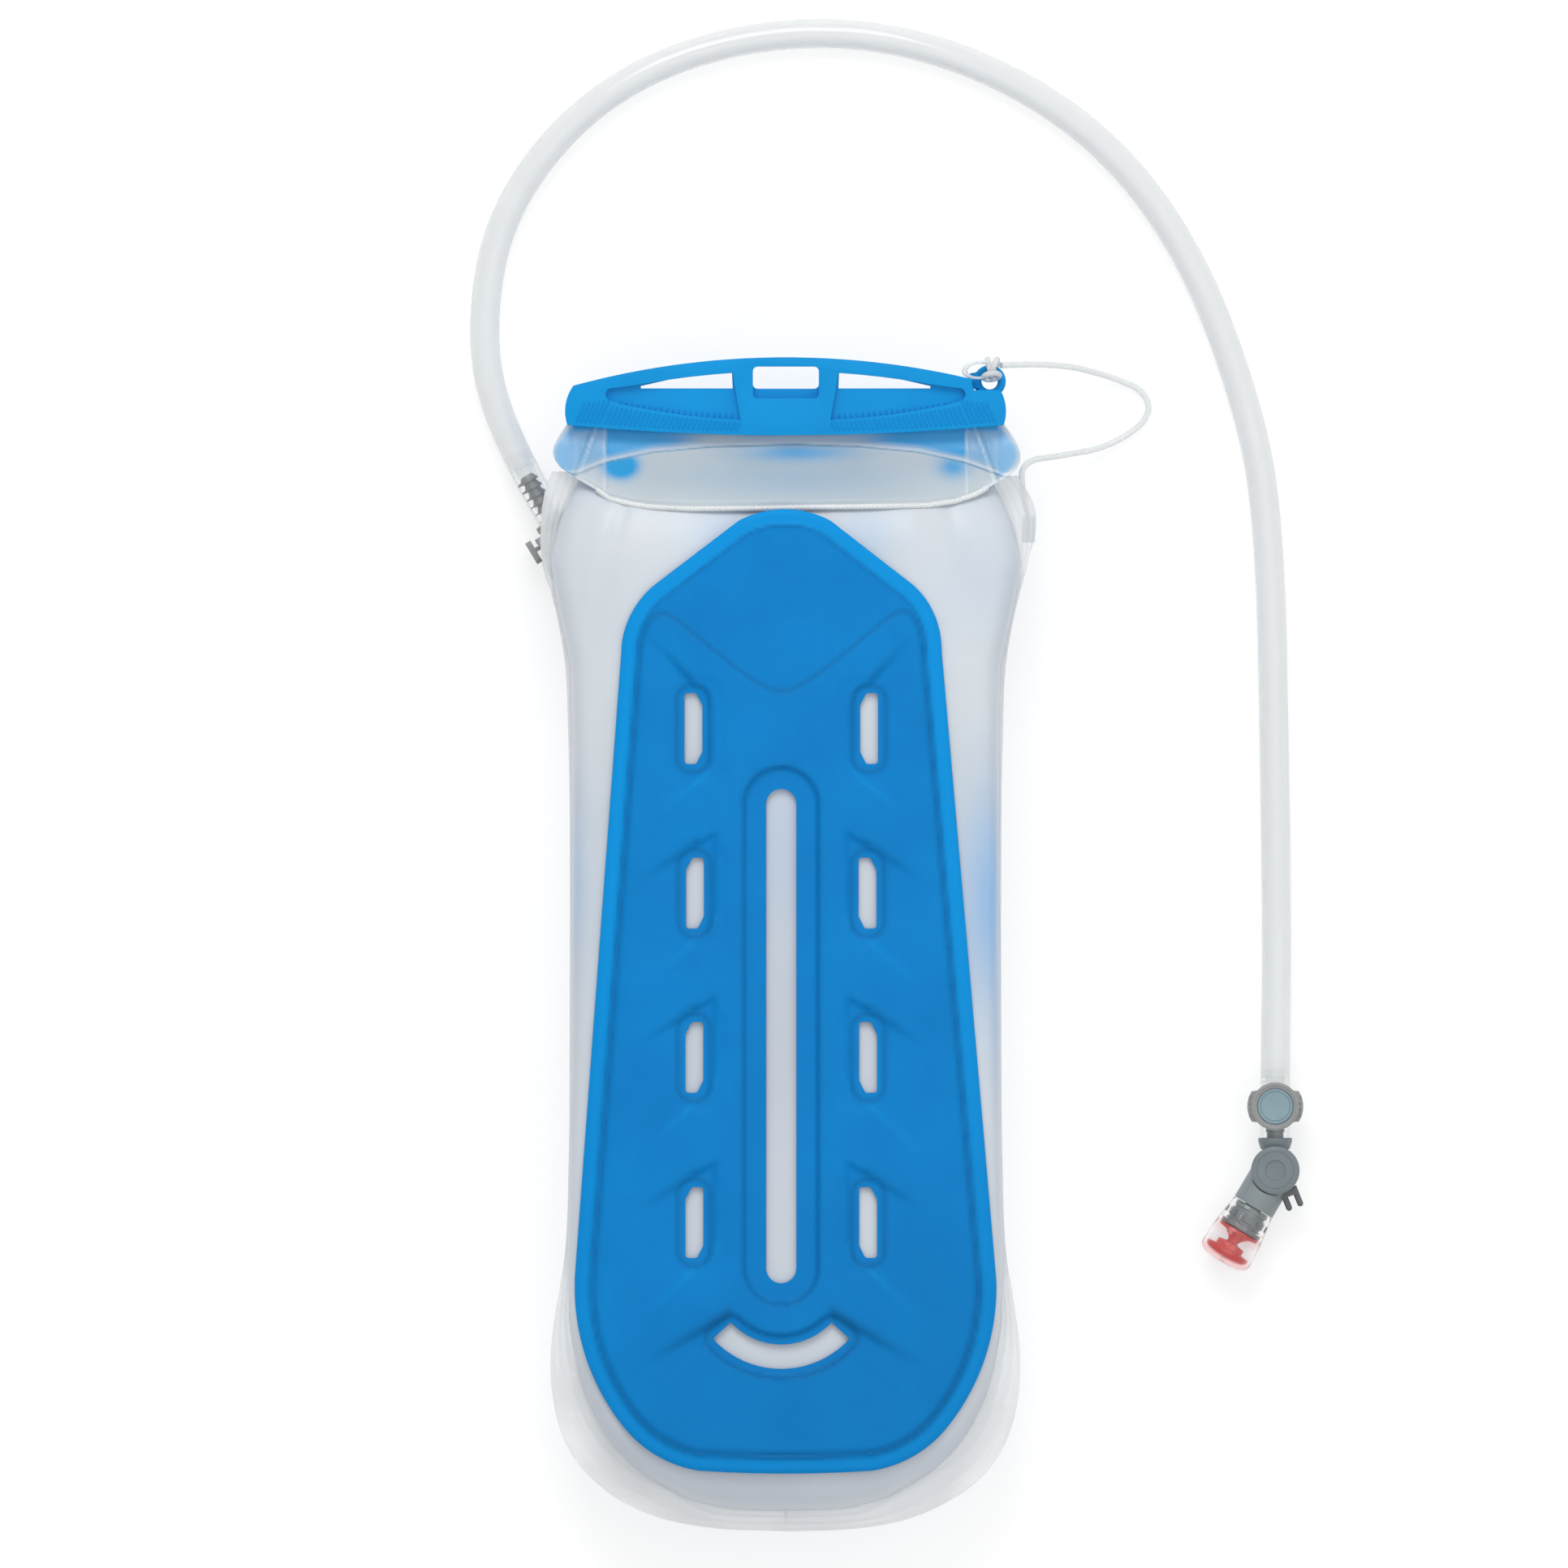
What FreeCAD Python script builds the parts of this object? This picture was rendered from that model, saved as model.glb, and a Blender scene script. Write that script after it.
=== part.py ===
import FreeCAD, Part
import math
import os

V = FreeCAD.Vector

# Frame: the reservoir lies on its front panel with the back plate up.
# +Z is up, +Y points to the slide closure, +X is the side that the drink tube comes down on.
# The origin is on the surface that it lies on, under the middle of the bag.

# Film bag
film = 0.8                # wall of the welded film
seam_z = 30.0             # height of the side seam
crown_z = 54.0            # height of the bag along its middle line, under the plate
crown_radius = 420.0      # roundness of the bag's top across its width
upper_rise = crown_z - seam_z + 7.0  # film above the seam before the plate flattens it
lower_drop = 31.5         # film below the seam before the table flattens it
bag_bottom_y = -184.0     # inner edge of the bottom weld
throat_y = 150.0          # where the bag ends in its flat neck
throat_half = 3.3         # half height of the throat outside the film
section_power = 4.0       # squareness of a cross-section
bottom_power = 4.0        # squareness of the bag's bottom end
top_power = 3.0           # squareness of the bag's top end
# station along the bag and half width of the bag there
bag_stations = [(-183.0, 20.0), (-179.0, 35.0), (-172.0, 47.0), (-157.6, 60.0), (-139.0, 67.6),
                (-105.0, 71.0), (-40.0, 69.5), (35.0, 69.5), (90.0, 70.0), (112.0, 74.5),
                (125.0, 76.8), (137.0, 73.5), (145.0, 70.0), (throat_y, 67.5)]
# outer edge of the welded flange, right half, from the bottom to the neck
flange_bottom_y = -190.7
flange_side = [(53.0, -181.0), (68.0, -168.5), (75.0, -151.0), (76.8, -137.0), (74.5, -117.0),
               (71.8, -98.0), (70.3, -40.0), (70.3, 35.0), (71.0, 88.0), (75.0, 110.0),
               (79.0, 125.0), (82.6, 138.0), (75.0, 151.0)]

# Inner baffle
baffle_wall = 1.0
baffle_y0 = -105.0
baffle_y1 = 26.0

# Back plate
plate_wall = 3.0
plate_top_y = 141.2
plate_apex_half = 15.0
plate_apex_y = 137.4
plate_shoulder = [(42.0, 116.6), (49.3, 107.0), (52.0, 95.0)]
plate_hip = [(68.4, -108.0), (62.0, -139.5), (42.0, -164.6)]
plate_bottom_y = -171.6
plate_border = 5.0        # width of the sloped border
centre_slot_half = 4.9
centre_slot_y0 = -110.0
centre_slot_y1 = 50.4
vent_half_width = 2.9
vent_length = 23.0
# height along the plate and distance from the openings' middle line of each pair of vents
vent_rows = [(70.0, 28.5), (16.6, 28.0), (-36.7, 28.2), (-90.3, 28.2)]
vent_slant = 3.5          # chamfer of a vent's corner
opening_x = -1.4          # middle line of the plate's openings
arc_centre_y = -107.7     # the curved opening at the bottom
arc_inner = 22.2
arc_outer = 30.1
arc_half_angle = 47.5

# Slide closure
slider_half = 71.5
slider_back_z = 23.0
slider_front_z = 37.0
slider_low_y = 165.2
slider_corner_y = 168.6
slider_high_y = 190.6
slider_shoulder_y = 181.4
channel_y = 177.0         # top of the channel that holds the fold
channel_half = 3.2        # half height of the channel
mouth_half = 2.2          # half height of the channel's mouth
lip = 2.0                 # depth of the lips at the mouth
stop_wall = 4.5           # closed end of the channel
rear_edge_y = 161.5       # lower edge of the rear wall between its tabs
# middle, half width and lower edge of each tab
rear_tabs = [(20.5 - slider_half, 7.0, 153.0), (-3.5, 14.5, 156.8), (slider_half - 17.0, 7.0, 153.0)]
window_y0 = 180.4
window_y1 = 187.6
window_half = 10.6
side_window_x0 = 17.2
side_window_x1 = slider_half - 24.0
bar = 3.2                 # width of the bar above the side windows
ledge_y = 177.4           # lower edge of the shallow part of the middle window
ledge_depth = 4.5
trough_x0 = 16.0
trough_x1 = slider_half - 18.5
trough_y0 = 169.8
trough_depth = 2.4
eyelet_x = slider_half - 5.2
eyelet_y = 182.8
eyelet_outer = 5.0
eyelet_hole = 2.9
eyelet_half_wall = 1.6

# Folded mouth
fold_gap = 0.4            # room between the fold and the channel
fold_leg = 1.4            # both films of one leg
flap_edge_y = 141.9       # lowest point of the flap's bead
flap_corner = (slider_half - 10.0, 151.0)
flap_ear = (slider_half + 3.8, 158.0)
flap_start_y = 163.4
flap_start_z = seam_z + 1.0
flap_share = 0.5935       # share of the film's rise that the flap's edge lies on
flap_end_z = seam_z + flap_share * upper_rise

# Drink tube
tube_radius = 4.75
tube_bore = 3.175

# Quick connector under the left shoulder
plug_x = -75.9
plug_y = 138.2
plug_z = 8.0
plug_heading = 121.0      # direction in which the plug pulls out, from +X
barb_length = 16.0
barb_ribs = 6
barb_root = tube_bore - 0.5   # radius between the ribs
barb_rim = tube_bore - 0.02   # radius of a rib
collar_wall = 2.5
collar_radius = tube_radius + 1.45
nose_radius = 4.0
nose_length = 11.5        # from the collar to the nose's tip
socket_clear = 0.30
plug_bore = 1.8           # water way through the plug and the valve's stem
ring_section = 0.55       # radius of an O-ring's section
ring_groove_x = -11.3
groove_width = 1.4
housing_front = -3.0
housing_back = -25.0
housing_half = nose_radius + 4.4
housing_half_height = nose_radius + 3.0
socket_floor = -15.0
chamber_floor = -23.0
chamber_radius = nose_radius + 1.0
passage_radius = 2.6
passage_x = -20.2
base_radius = housing_half + 2.1
base_wall = 2.5
base_x = -14.0
pocket_half = base_radius + 3.0  # half width of the space that the film leaves for the connector
pocket_in = -29.0
pocket_out = 40.0
plug_travel = 15.0
poppet_travel = 2.0
poppet_wall = 1.5
button_travel = 1.0
button_gap = 0.3
latch_x = -6.6
latch_wall = 1.4
latch_half = nose_radius + 0.9
latch_slot_wall = 0.8     # housing left behind the latch
spring_wire = 0.3
spring_turns = 3
spring_corners = 8        # straight runs in one turn
button_spring_radius = 0.45
poppet_spring_radius = nose_radius - 0.4

# Line of the drink tube
tube_lie_z = tube_radius + 0.05
# free end of the valve's stem, in the same frame
valve_x = 159.2
valve_y = -73.6
valve_z = 9.2
tube_end_y = -63.0
tube_route = [(-91.35, 163.92, 8.0), (-99.8, 197.0, tube_lie_z), (-92.4, 240.7, tube_lie_z),
              (-58.9, 279.2, tube_lie_z), (-8.9, 297.2, tube_lie_z), (45.0, 294.4, tube_lie_z),
              (96.5, 269.1, tube_lie_z), (130.6, 228.4, tube_lie_z), (151.9, 171.3, tube_lie_z),
              (157.7, 130.1, tube_lie_z), (159.2, 50.0, tube_lie_z), (159.8, -5.0, tube_lie_z),
              (159.2, -36.0, valve_z)]

# Magnet clip on the tube
clip_y = -52.8
clip_clear = 0.1
clip_sleeve = tube_radius + 1.65
clip_sleeve_half = 5.2
clip_ear_half = 5.0
clip_top = tube_radius + 3.45  # top of the ring above the tube's axis
cup_radius = 6.0
clip_ring = cup_radius + 1.8
clip_ear = clip_ring + 1.3
disc_wall = 0.9
magnet_wall = 2.0

# Bite valve
hub_radius = 6.9
hub_low = -7.4
joint_gap = 0.3
arm_hub_radius = hub_radius + 0.4
arm_hub_top = 5.2
cap_radius = arm_hub_radius + 0.6
cap_wall = 2.0
cap_clear = 0.3
pin_radius = 1.6
neck_radius = 3.9         # of the stem beside the hub, clear of the swinging arm
neck_length = 6.6
pivot_seal_radius = 4.6
pivot_seal_section = 0.6
pin_clear = 0.05
pin_foot_z = -6.0
riser_y = 3.3             # water rises here from the stem to the arm
riser_radius = 1.1
arm_angle = 30.7          # bend of the arm from the tube's line at rest
arm_length = 13.9
arm_radius = 7.1
flow_bore = 3.0
lever_heading = -68.0
lever_height = 2.4        # above the tube's axis
lever_half = 1.0          # half thickness
lever_prongs = (-0.4, 3.5)
lever_reach = 4.0
spigot_clear = 0.08
nipple_length = 8.4
nipple_radius = 6.2
sheath_wall = 1.1
sheath_length = 20.8
sheath_start = 7.2
sheath_mid = 8.4
sheath_end = 8.9
core_gap = 0.3

# Tether
tether_radius = 1.0
tether_route = [(79.0, 139.0, 27.6), (76.5, 148.0, 26.8), (77.0, 157.0, 22.5), (90.0, 158.8, 10.0),
                (105.0, 161.5, 1.4), (118.5, 170.5, 1.3), (117.5, 179.5, 1.3), (106.0, 184.5, 2.5),
                (88.0, 189.0, 16.0), (70.0, 188.0, 29.0)]
tab_length = 8.5
tab_width = 4.0
tab_wall = 1.2


def box(x0, x1, y0, y1, z0, z1):
    return Part.makeBox(x1 - x0, y1 - y0, z1 - z0, V(x0, y0, z0))


def rod(start, direction, radius, length):
    return Part.makeCylinder(radius, length, V(*start), V(*direction))


def line(a, b):
    return Part.LineSegment(V(*a, 0), V(*b, 0)).toShape()


def arc(a, b, c):
    return Part.Arc(V(*a, 0), V(*b, 0), V(*c, 0)).toShape()


def prism(edges, z0, z1):
    face = Part.Face(Part.Wire(edges))
    face.translate(V(0, 0, z0))
    return face.extrude(V(0, 0, z1 - z0))


def mirror_x(points):
    return [(-x, y) for x, y in reversed(points)]


def revolve_x(profile):
    """Solid of revolution about X from (x, radius) corners."""
    wire = Part.makePolygon([V(x, r, 0) for x, r in profile + profile[:1]])
    return Part.Face(wire).revolve(V(0, 0, 0), V(1, 0, 0), 360)


def fuse(shapes):
    return shapes[0].multiFuse(shapes[1:]).removeSplitter()


def moved(shape, point, heading):
    copy = shape.copy()
    turn = FreeCAD.Rotation(V(0, 0, 1), heading)
    copy.Placement = FreeCAD.Placement(V(*point), turn).multiply(copy.Placement)
    return copy


def at_port(shape):
    return moved(shape, (plug_x, plug_y, plug_z), plug_heading)


def at_valve(shape, heading=0.0):
    return moved(shape, (valve_x, valve_y, valve_z), heading)


def coil(start, axis_x, radius, length):
    """Compression spring of square wire along local X or Y, in short straight runs."""
    steps = spring_turns * spring_corners
    points = []
    for i in range(steps + 1):
        angle = 2 * math.pi * i / spring_corners
        points.append(V(radius * math.cos(angle), radius * math.sin(angle), length * i / steps))
    along = points[1] - points[0]
    along.normalize()
    side = along.cross(V(0, 0, 1))
    side.normalize()
    up = side.cross(along)
    half = spring_wire / 2
    corners = [points[0] + side * a * half + up * b * half
               for a, b in ((1, 1), (-1, 1), (-1, -1), (1, -1))]
    profile = Part.makePolygon(corners + corners[:1])
    spring = Part.makePolygon(points).makePipeShell([profile], True, False, 1)
    spring.rotate(V(0, 0, 0), V(0, 1, 0) if axis_x else V(1, 0, 0), 90 if axis_x else -90)
    spring.translate(V(*start))
    return spring


def round_path(points):
    """Straight runs joined by tangent arcs, each as large as its two runs allow."""
    points = [V(*p) for p in points]
    edges = []
    radii = []
    last = points[0]
    for before, corner, after in zip(points, points[1:], points[2:]):
        into = corner - before
        out = after - corner
        reach = 0.45 * min(into.Length, out.Length)
        half_turn = into.getAngle(out) / 2
        radius = reach / math.tan(half_turn)
        radii.append(radius)
        into.normalize()
        out.normalize()
        start = corner - into * reach
        end = corner + out * reach
        bisector = out - into
        bisector.normalize()
        middle = corner + bisector * (radius / math.cos(half_turn) - radius)
        edges.append(Part.LineSegment(last, start).toShape())
        edges.append(Part.Arc(start, middle, end).toShape())
        last = end
    edges.append(Part.LineSegment(last, points[-1]).toShape())
    return Part.Wire(edges), radii


def pipe(path, radius):
    start = path.Edges[0]
    circle = Part.makeCircle(radius, start.valueAt(start.FirstParameter),
                             start.tangentAt(start.FirstParameter))
    return path.makePipeShell([Part.Wire(circle)], True, False)


def end_shape(y):
    """Share of the bag's full height at a station."""
    middle = (bag_bottom_y + throat_y) / 2
    reach = (throat_y - bag_bottom_y) / 2 + 1.0
    u = abs(y - middle) / reach
    power = top_power if y > middle else bottom_power
    return max(0.0, 1 - u ** power) ** (1 / power)


def half_section(y, half, height, offset):
    """Half of a squared ellipse from +X to -X, above the seam if height is above zero."""
    half = half - offset
    height = height - math.copysign(offset, height)
    points = []
    steps = 12
    for i in range(steps + 1):
        angle = math.pi * i / steps
        c = math.cos(angle)
        s = math.sin(angle)
        x = half * math.copysign(abs(c) ** (2 / section_power), c)
        z = height * abs(s) ** (2 / section_power)
        points.append(V(x, y, seam_z + z))
    points[0] = V(half, y, seam_z)
    points[-1] = V(-half, y, seam_z)
    curve = Part.BSplineCurve()
    curve.interpolate(points)
    return curve.toShape()


def bag_loft(offset):
    wires = []
    for y, half in bag_stations:
        share = end_shape(y)
        up = max(upper_rise * share, throat_half)
        down = max(lower_drop * share, throat_half)
        if y == throat_y:
            up = throat_half
            down = throat_half
        upper = half_section(y, half, up, offset)
        lower = half_section(y, half, -down, offset)
        wires.append(Part.Wire([upper, lower.reversed()]))
    return Part.makeLoft(wires, True, False)


def crown(offset):
    """Everything under the rounded top of the bag."""
    return rod((0, -400, crown_z - crown_radius), (0, 1, 0), crown_radius + offset, 800)


def pocket(offset):
    block = box(pocket_in - offset, pocket_out, -pocket_half - offset, pocket_half + 30,
                -20, housing_half_height + base_wall + offset)
    return at_port(block)


def bag_body():
    outer = bag_loft(0).common(crown(0)).common(box(-120, 120, -250, 200, 0, 90)).cut(pocket(0))
    inner = bag_loft(film).common(crown(-film)).common(box(-120, 120, -250, 200, film, 90))
    inner = inner.cut(pocket(film))
    return outer, inner


def flange_outline():
    right = [(0.0, flange_bottom_y)] + flange_side
    curve = Part.BSplineCurve()
    curve.interpolate([V(x, y, 0) for x, y in right[:-1]])
    left = Part.BSplineCurve()
    left.interpolate([V(-x, y, 0) for x, y in right[:-1]])
    tip = flange_side[-2]
    end = flange_side[-1]
    return [curve.toShape(), line(tip, end), line(end, (-end[0], end[1])),
            line((-end[0], end[1]), (-tip[0], tip[1])), left.toShape()]


def make_bag():
    outer, inner = bag_body()
    shell = outer.cut(inner)
    throat = box(-65, 65, throat_y - 6, throat_y + 6,
                 seam_z - throat_half + film, seam_z + throat_half - film)
    port_hole = at_port(rod((passage_x, 0, 0), (0, 0, 1), passage_radius, 20))
    shell = shell.cut(throat).cut(port_hole)
    flange = prism(flange_outline(), seam_z - film, seam_z + film)
    neck_half = slider_half - 2.0
    flange = flange.cut(outer).cut(box(-neck_half, neck_half, throat_y - 0.5, throat_y + 20, 0, 60))
    whole = shell.fuse(flange)
    above = box(-200, 200, -300, 300, seam_z, 200)
    below = box(-200, 200, -300, 300, -50, seam_z)
    return whole.common(below), whole.common(above)


def make_baffle():
    top = crown_z - film - 0.02
    return box(-baffle_wall / 2, baffle_wall / 2, baffle_y0, baffle_y1, film, top)


def plate_outline(inset=0.0):
    k = inset
    apex_half = plate_apex_half - 0.4 * k
    apex_y = plate_apex_y - k
    shoulder = [(x - 0.9 * k, y - 0.6 * k) for x, y in plate_shoulder]
    hip = [(plate_hip[0][0] - k, plate_hip[0][1]), (plate_hip[1][0] - 0.9 * k, plate_hip[1][1] + 0.5 * k),
           (plate_hip[2][0] - 0.6 * k, plate_hip[2][1] + 0.8 * k)]
    bottom = (0.0, plate_bottom_y + k)
    left_shoulder = mirror_x(shoulder)
    left_hip = mirror_x(hip)
    apex_right = (apex_half, apex_y)
    apex_left = (-apex_half, apex_y)
    return [arc(apex_left, (0.0, plate_top_y - k), apex_right), line(apex_right, shoulder[0]),
            arc(*shoulder), line(shoulder[2], hip[0]), arc(*hip), arc(hip[2], bottom, left_hip[0]),
            arc(*left_hip), line(left_hip[2], left_shoulder[0]), arc(*left_shoulder),
            line(left_shoulder[2], apex_left)]


def obround(x, y0, y1, half, z0, z1):
    body = box(x - half, x + half, y0 + half, y1 - half, z0, z1)
    ends = [rod((x, y, z0), (0, 0, 1), half, z1 - z0) for y in (y0 + half, y1 - half)]
    return fuse([body] + ends)


def vent(distance, side, y, z0, z1):
    x = opening_x + side * distance
    low = y - vent_length / 2
    high = y + vent_length / 2
    outer = side * vent_half_width
    near = outer * 0.2
    corners = [(x - outer, high), (x + near, high), (x + outer, high - vent_slant), (x + outer, low),
               (x - near, low), (x - outer, low + vent_slant)]
    edges = [line(a, b) for a, b in zip(corners, corners[1:] + corners[:1])]
    return prism(edges, z0, z1)


def curved_opening(z0, z1):
    """Part of a ring, open to the top."""
    middle = (opening_x, arc_centre_y, z0)
    ring = rod(middle, (0, 0, 1), arc_outer, z1 - z0).cut(rod(middle, (0, 0, 1), arc_inner, z1 - z0))
    reach = 2 * arc_outer
    side = reach * math.tan(math.radians(arc_half_angle))
    low = arc_centre_y - reach
    corners = [middle[:2], (opening_x - side, low), (opening_x + side, low)]
    edges = [line(a, b) for a, b in zip(corners, corners[1:] + corners[:1])]
    return ring.common(prism(edges, z0, z1))


def make_plate():
    z0 = crown_z - 20
    z1 = crown_z + 20
    slab = prism(plate_outline(), z0, z1)
    skin = crown(plate_wall).cut(crown(0))
    plate = slab.common(skin)
    border = slab.cut(prism(plate_outline(plate_border), z0, z1))
    plate = plate.cut(border.common(crown(plate_wall).cut(crown(plate_wall - 1.0))))
    cuts = [obround(opening_x, centre_slot_y0, centre_slot_y1, centre_slot_half, z0, z1),
            curved_opening(z0, z1)]
    for y, x in vent_rows:
        cuts += [vent(x, 1, y, z0, z1), vent(x, -1, y, z0, z1)]
    for cut in cuts:
        plate = plate.cut(cut)
    return plate


def slider_outline():
    low_left = (-slider_half + 0.6, slider_corner_y)
    low_right = (slider_half - 0.6, slider_corner_y)
    high_left = (-slider_half + 2.6, slider_shoulder_y)
    high_right = (slider_half - 2.6, slider_shoulder_y)
    return [arc(low_left, (0.0, slider_low_y), low_right),
            arc(low_right, (slider_half, (slider_corner_y + slider_shoulder_y) / 2), high_right),
            arc(high_right, (0.0, slider_high_y), high_left),
            arc(high_left, (-slider_half, (slider_corner_y + slider_shoulder_y) / 2), low_left)]


def top_edge_y(x):
    """Height of the slider's top edge at x, from its arc."""
    half = slider_half - 2.6
    rise = slider_high_y - slider_shoulder_y
    radius = (half * half + rise * rise) / (2 * rise)
    return slider_high_y - radius + math.sqrt(radius * radius - x * x)


def side_window(side, z0, z1):
    near = side * side_window_x0
    far = side * side_window_x1
    middle = (near + far) / 2
    top_near = (near, top_edge_y(near) - bar)
    top_middle = (middle, top_edge_y(middle) - bar)
    top_far = (far, max(top_edge_y(far) - bar, window_y0 + 0.4))
    return prism([line((near, window_y0), top_near), arc(top_near, top_middle, top_far),
                  line(top_far, (far, window_y0)), line((far, window_y0), (near, window_y0))], z0, z1)


def make_slider():
    z0 = slider_back_z
    z1 = slider_front_z
    low = z0 - 1
    high = z1 + 1
    body = prism(slider_outline(), z0, z1)
    body = body.fuse(box(-slider_half + 1, slider_half - 1, rear_edge_y, slider_corner_y + 2,
                         z0, seam_z - channel_half))
    for x, half, y in rear_tabs:
        body = body.fuse(box(x - half, x + half, y, rear_edge_y + 1, z0, seam_z - channel_half))
    channel = box(-slider_half - 5, slider_half - stop_wall, slider_low_y + lip, channel_y,
                  seam_z - channel_half, seam_z + channel_half)
    mouth = box(-slider_half - 5, slider_half + 5, rear_edge_y - 12, slider_corner_y + 1,
                seam_z - channel_half, seam_z + mouth_half)
    body = body.cut(channel).cut(mouth)
    body = body.cut(box(-window_half, window_half, window_y0, window_y1, low, high))
    body = body.cut(box(-window_half, window_half, ledge_y, window_y1, z1 - ledge_depth, high))
    for side in (-1, 1):
        xs = sorted((side * trough_x0, side * trough_x1))
        body = body.cut(side_window(side, low, high))
        body = body.cut(box(xs[0], xs[1], trough_y0, window_y0 + 0.5, z1 - trough_depth, high))
    ring_z0 = seam_z - eyelet_half_wall
    ring_wall = 2 * eyelet_half_wall
    room = rod((eyelet_x, eyelet_y, low), (0, 0, 1), eyelet_outer + 0.8, high - low)
    ring = rod((eyelet_x, eyelet_y, ring_z0), (0, 0, 1), eyelet_outer, ring_wall)
    hole = rod((eyelet_x, eyelet_y, low), (0, 0, 1), eyelet_hole, high - low)
    above = box(50, 90, eyelet_y - eyelet_hole, 200, low, high)
    thin = box(50, 90, 150, 200, ring_z0, ring_z0 + ring_wall)
    body = body.cut(room.common(above).cut(thin))
    return body.fuse(ring).cut(hole)


def make_fold():
    """Neck, fold and flap of the bag's mouth, as one folded strip."""
    x0 = -slider_half + 2.5
    x1 = slider_half - stop_wall - 1.0
    neck_z = seam_z - mouth_half + fold_gap
    flap_z = seam_z + mouth_half - fold_gap - fold_leg
    bulb_z0 = seam_z - channel_half + fold_gap
    bulb_z1 = seam_z + channel_half - fold_gap
    neck = box(x0, x1, throat_y + 0.2, channel_y - 4, neck_z, neck_z + fold_leg)
    top_leg = box(x0, x1, flap_start_y, channel_y - 4, flap_z, flap_z + fold_leg)
    bulb = box(x0, x1, slider_corner_y + lip - 0.4, channel_y - fold_gap, bulb_z0, bulb_z1)
    corner = flap_corner
    ear = flap_ear
    start = (slider_half - 1.5, flap_start_y + 0.2)
    outline = [arc((-corner[0], corner[1]), (0.0, flap_edge_y), corner),
               arc(corner, ear, start), line(start, (-start[0], start[1])),
               arc((-start[0], start[1]), (-ear[0], ear[1]), (-corner[0], corner[1]))]
    slope = [V(-90, flap_start_y + 0.2, flap_z), V(-90, flap_edge_y - 1, flap_end_z),
             V(-90, flap_edge_y - 1, flap_end_z + fold_leg), V(-90, flap_start_y + 0.2, flap_z + fold_leg)]
    leaf = Part.Face(Part.makePolygon(slope + slope[:1])).extrude(V(180, 0, 0))
    leaf = leaf.common(prism(outline, 0, 90))
    return fuse([neck, top_leg, bulb, leaf])


def ring_x(x, outer, section):
    return Part.makeTorus(outer - section, section, V(x, 0, 0), V(1, 0, 0))


def make_plug():
    nose_tip = -collar_wall - nose_length
    rib = barb_length / barb_ribs
    profile = [(nose_tip, 0), (nose_tip, nose_radius), (-collar_wall, nose_radius),
               (-collar_wall, collar_radius), (0, collar_radius), (0, barb_root)]
    for i in range(barb_ribs):
        x = i * rib
        profile += [(x + 0.25 * rib, barb_root), (x + 0.25 * rib, barb_rim), (x + rib, barb_root)]
    profile += [(barb_length + 0.4, barb_root - 0.4), (barb_length + 0.4, 0)]
    plug = revolve_x(profile)
    groove_outer = nose_radius + 1
    groove_inner = nose_radius + socket_clear - 0.05 - 2 * ring_section
    groove_x = ring_groove_x - groove_width / 2
    groove = rod((groove_x, 0, 0), (1, 0, 0), groove_outer, groove_width)
    groove = groove.cut(rod((groove_x, 0, 0), (1, 0, 0), groove_inner, groove_width))
    bore = rod((nose_tip - 1, 0, 0), (1, 0, 0), plug_bore, barb_length + 20)
    seal = ring_x(ring_groove_x, nose_radius + socket_clear - 0.05, ring_section)
    return at_port(plug.cut(groove).cut(bore)), at_port(seal)


def make_port():
    top = housing_half_height
    block = box(housing_back, housing_front, -housing_half, housing_half, -top, top)
    corners = [e for e in block.Edges if abs(e.tangentAt(0).x) > 0.9]
    block = block.makeFillet(3.0, corners)
    socket = rod((socket_floor, 0, 0), (1, 0, 0), nose_radius + socket_clear, 20)
    chamber = rod((chamber_floor, 0, 0), (1, 0, 0), chamber_radius, socket_floor - chamber_floor)
    passage = rod((passage_x, 0, 0), (0, 0, 1), passage_radius, top + 2)
    slot_half = latch_half + button_gap
    latch_slot = box(latch_x - button_gap, latch_x + latch_wall + button_gap,
                     -housing_half + latch_slot_wall, housing_half + 1, -slot_half, slot_half)
    housing = block.cut(socket).cut(chamber).cut(passage).cut(latch_slot)
    base = rod((base_x, 0, top), (0, 0, 1), base_radius, base_wall)
    base = base.cut(rod((passage_x, 0, top - 1), (0, 0, 1), passage_radius, base_wall + 2))
    return at_port(housing), at_port(base)


def make_button():
    hole_radius = nose_radius + socket_clear
    inner_end = -hole_radius - 1.3
    slot_floor = -housing_half + latch_slot_wall
    plate = box(latch_x, latch_x + latch_wall, inner_end, housing_half + 0.6, -latch_half, latch_half)
    hole = [rod((latch_x - 1, y, 0), (1, 0, 0), hole_radius, latch_wall + 2) for y in (0.0, button_travel)]
    hole.append(box(latch_x - 1, latch_x + latch_wall + 1, 0, button_travel, -hole_radius, hole_radius))
    cap = box(latch_x - 3.6, latch_x + 4.2, housing_half + button_travel + 0.3,
              housing_half + button_travel + 2.3, -latch_half - 0.1, latch_half + 0.1)
    edges = [e for e in cap.Edges if abs(e.tangentAt(0).y) > 0.9]
    cap = cap.makeFillet(1.6, edges)
    neck = box(latch_x, latch_x + latch_wall, housing_half + 0.5, housing_half + button_travel + 0.4,
               -latch_half, latch_half)
    button = fuse([plate.cut(fuse(hole)), neck, cap])
    spring = coil((latch_x + latch_wall / 2, slot_floor + spring_wire / 2, 0), False, button_spring_radius,
                  inner_end - slot_floor - spring_wire - 0.02)
    return at_port(button), at_port(spring)


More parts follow.
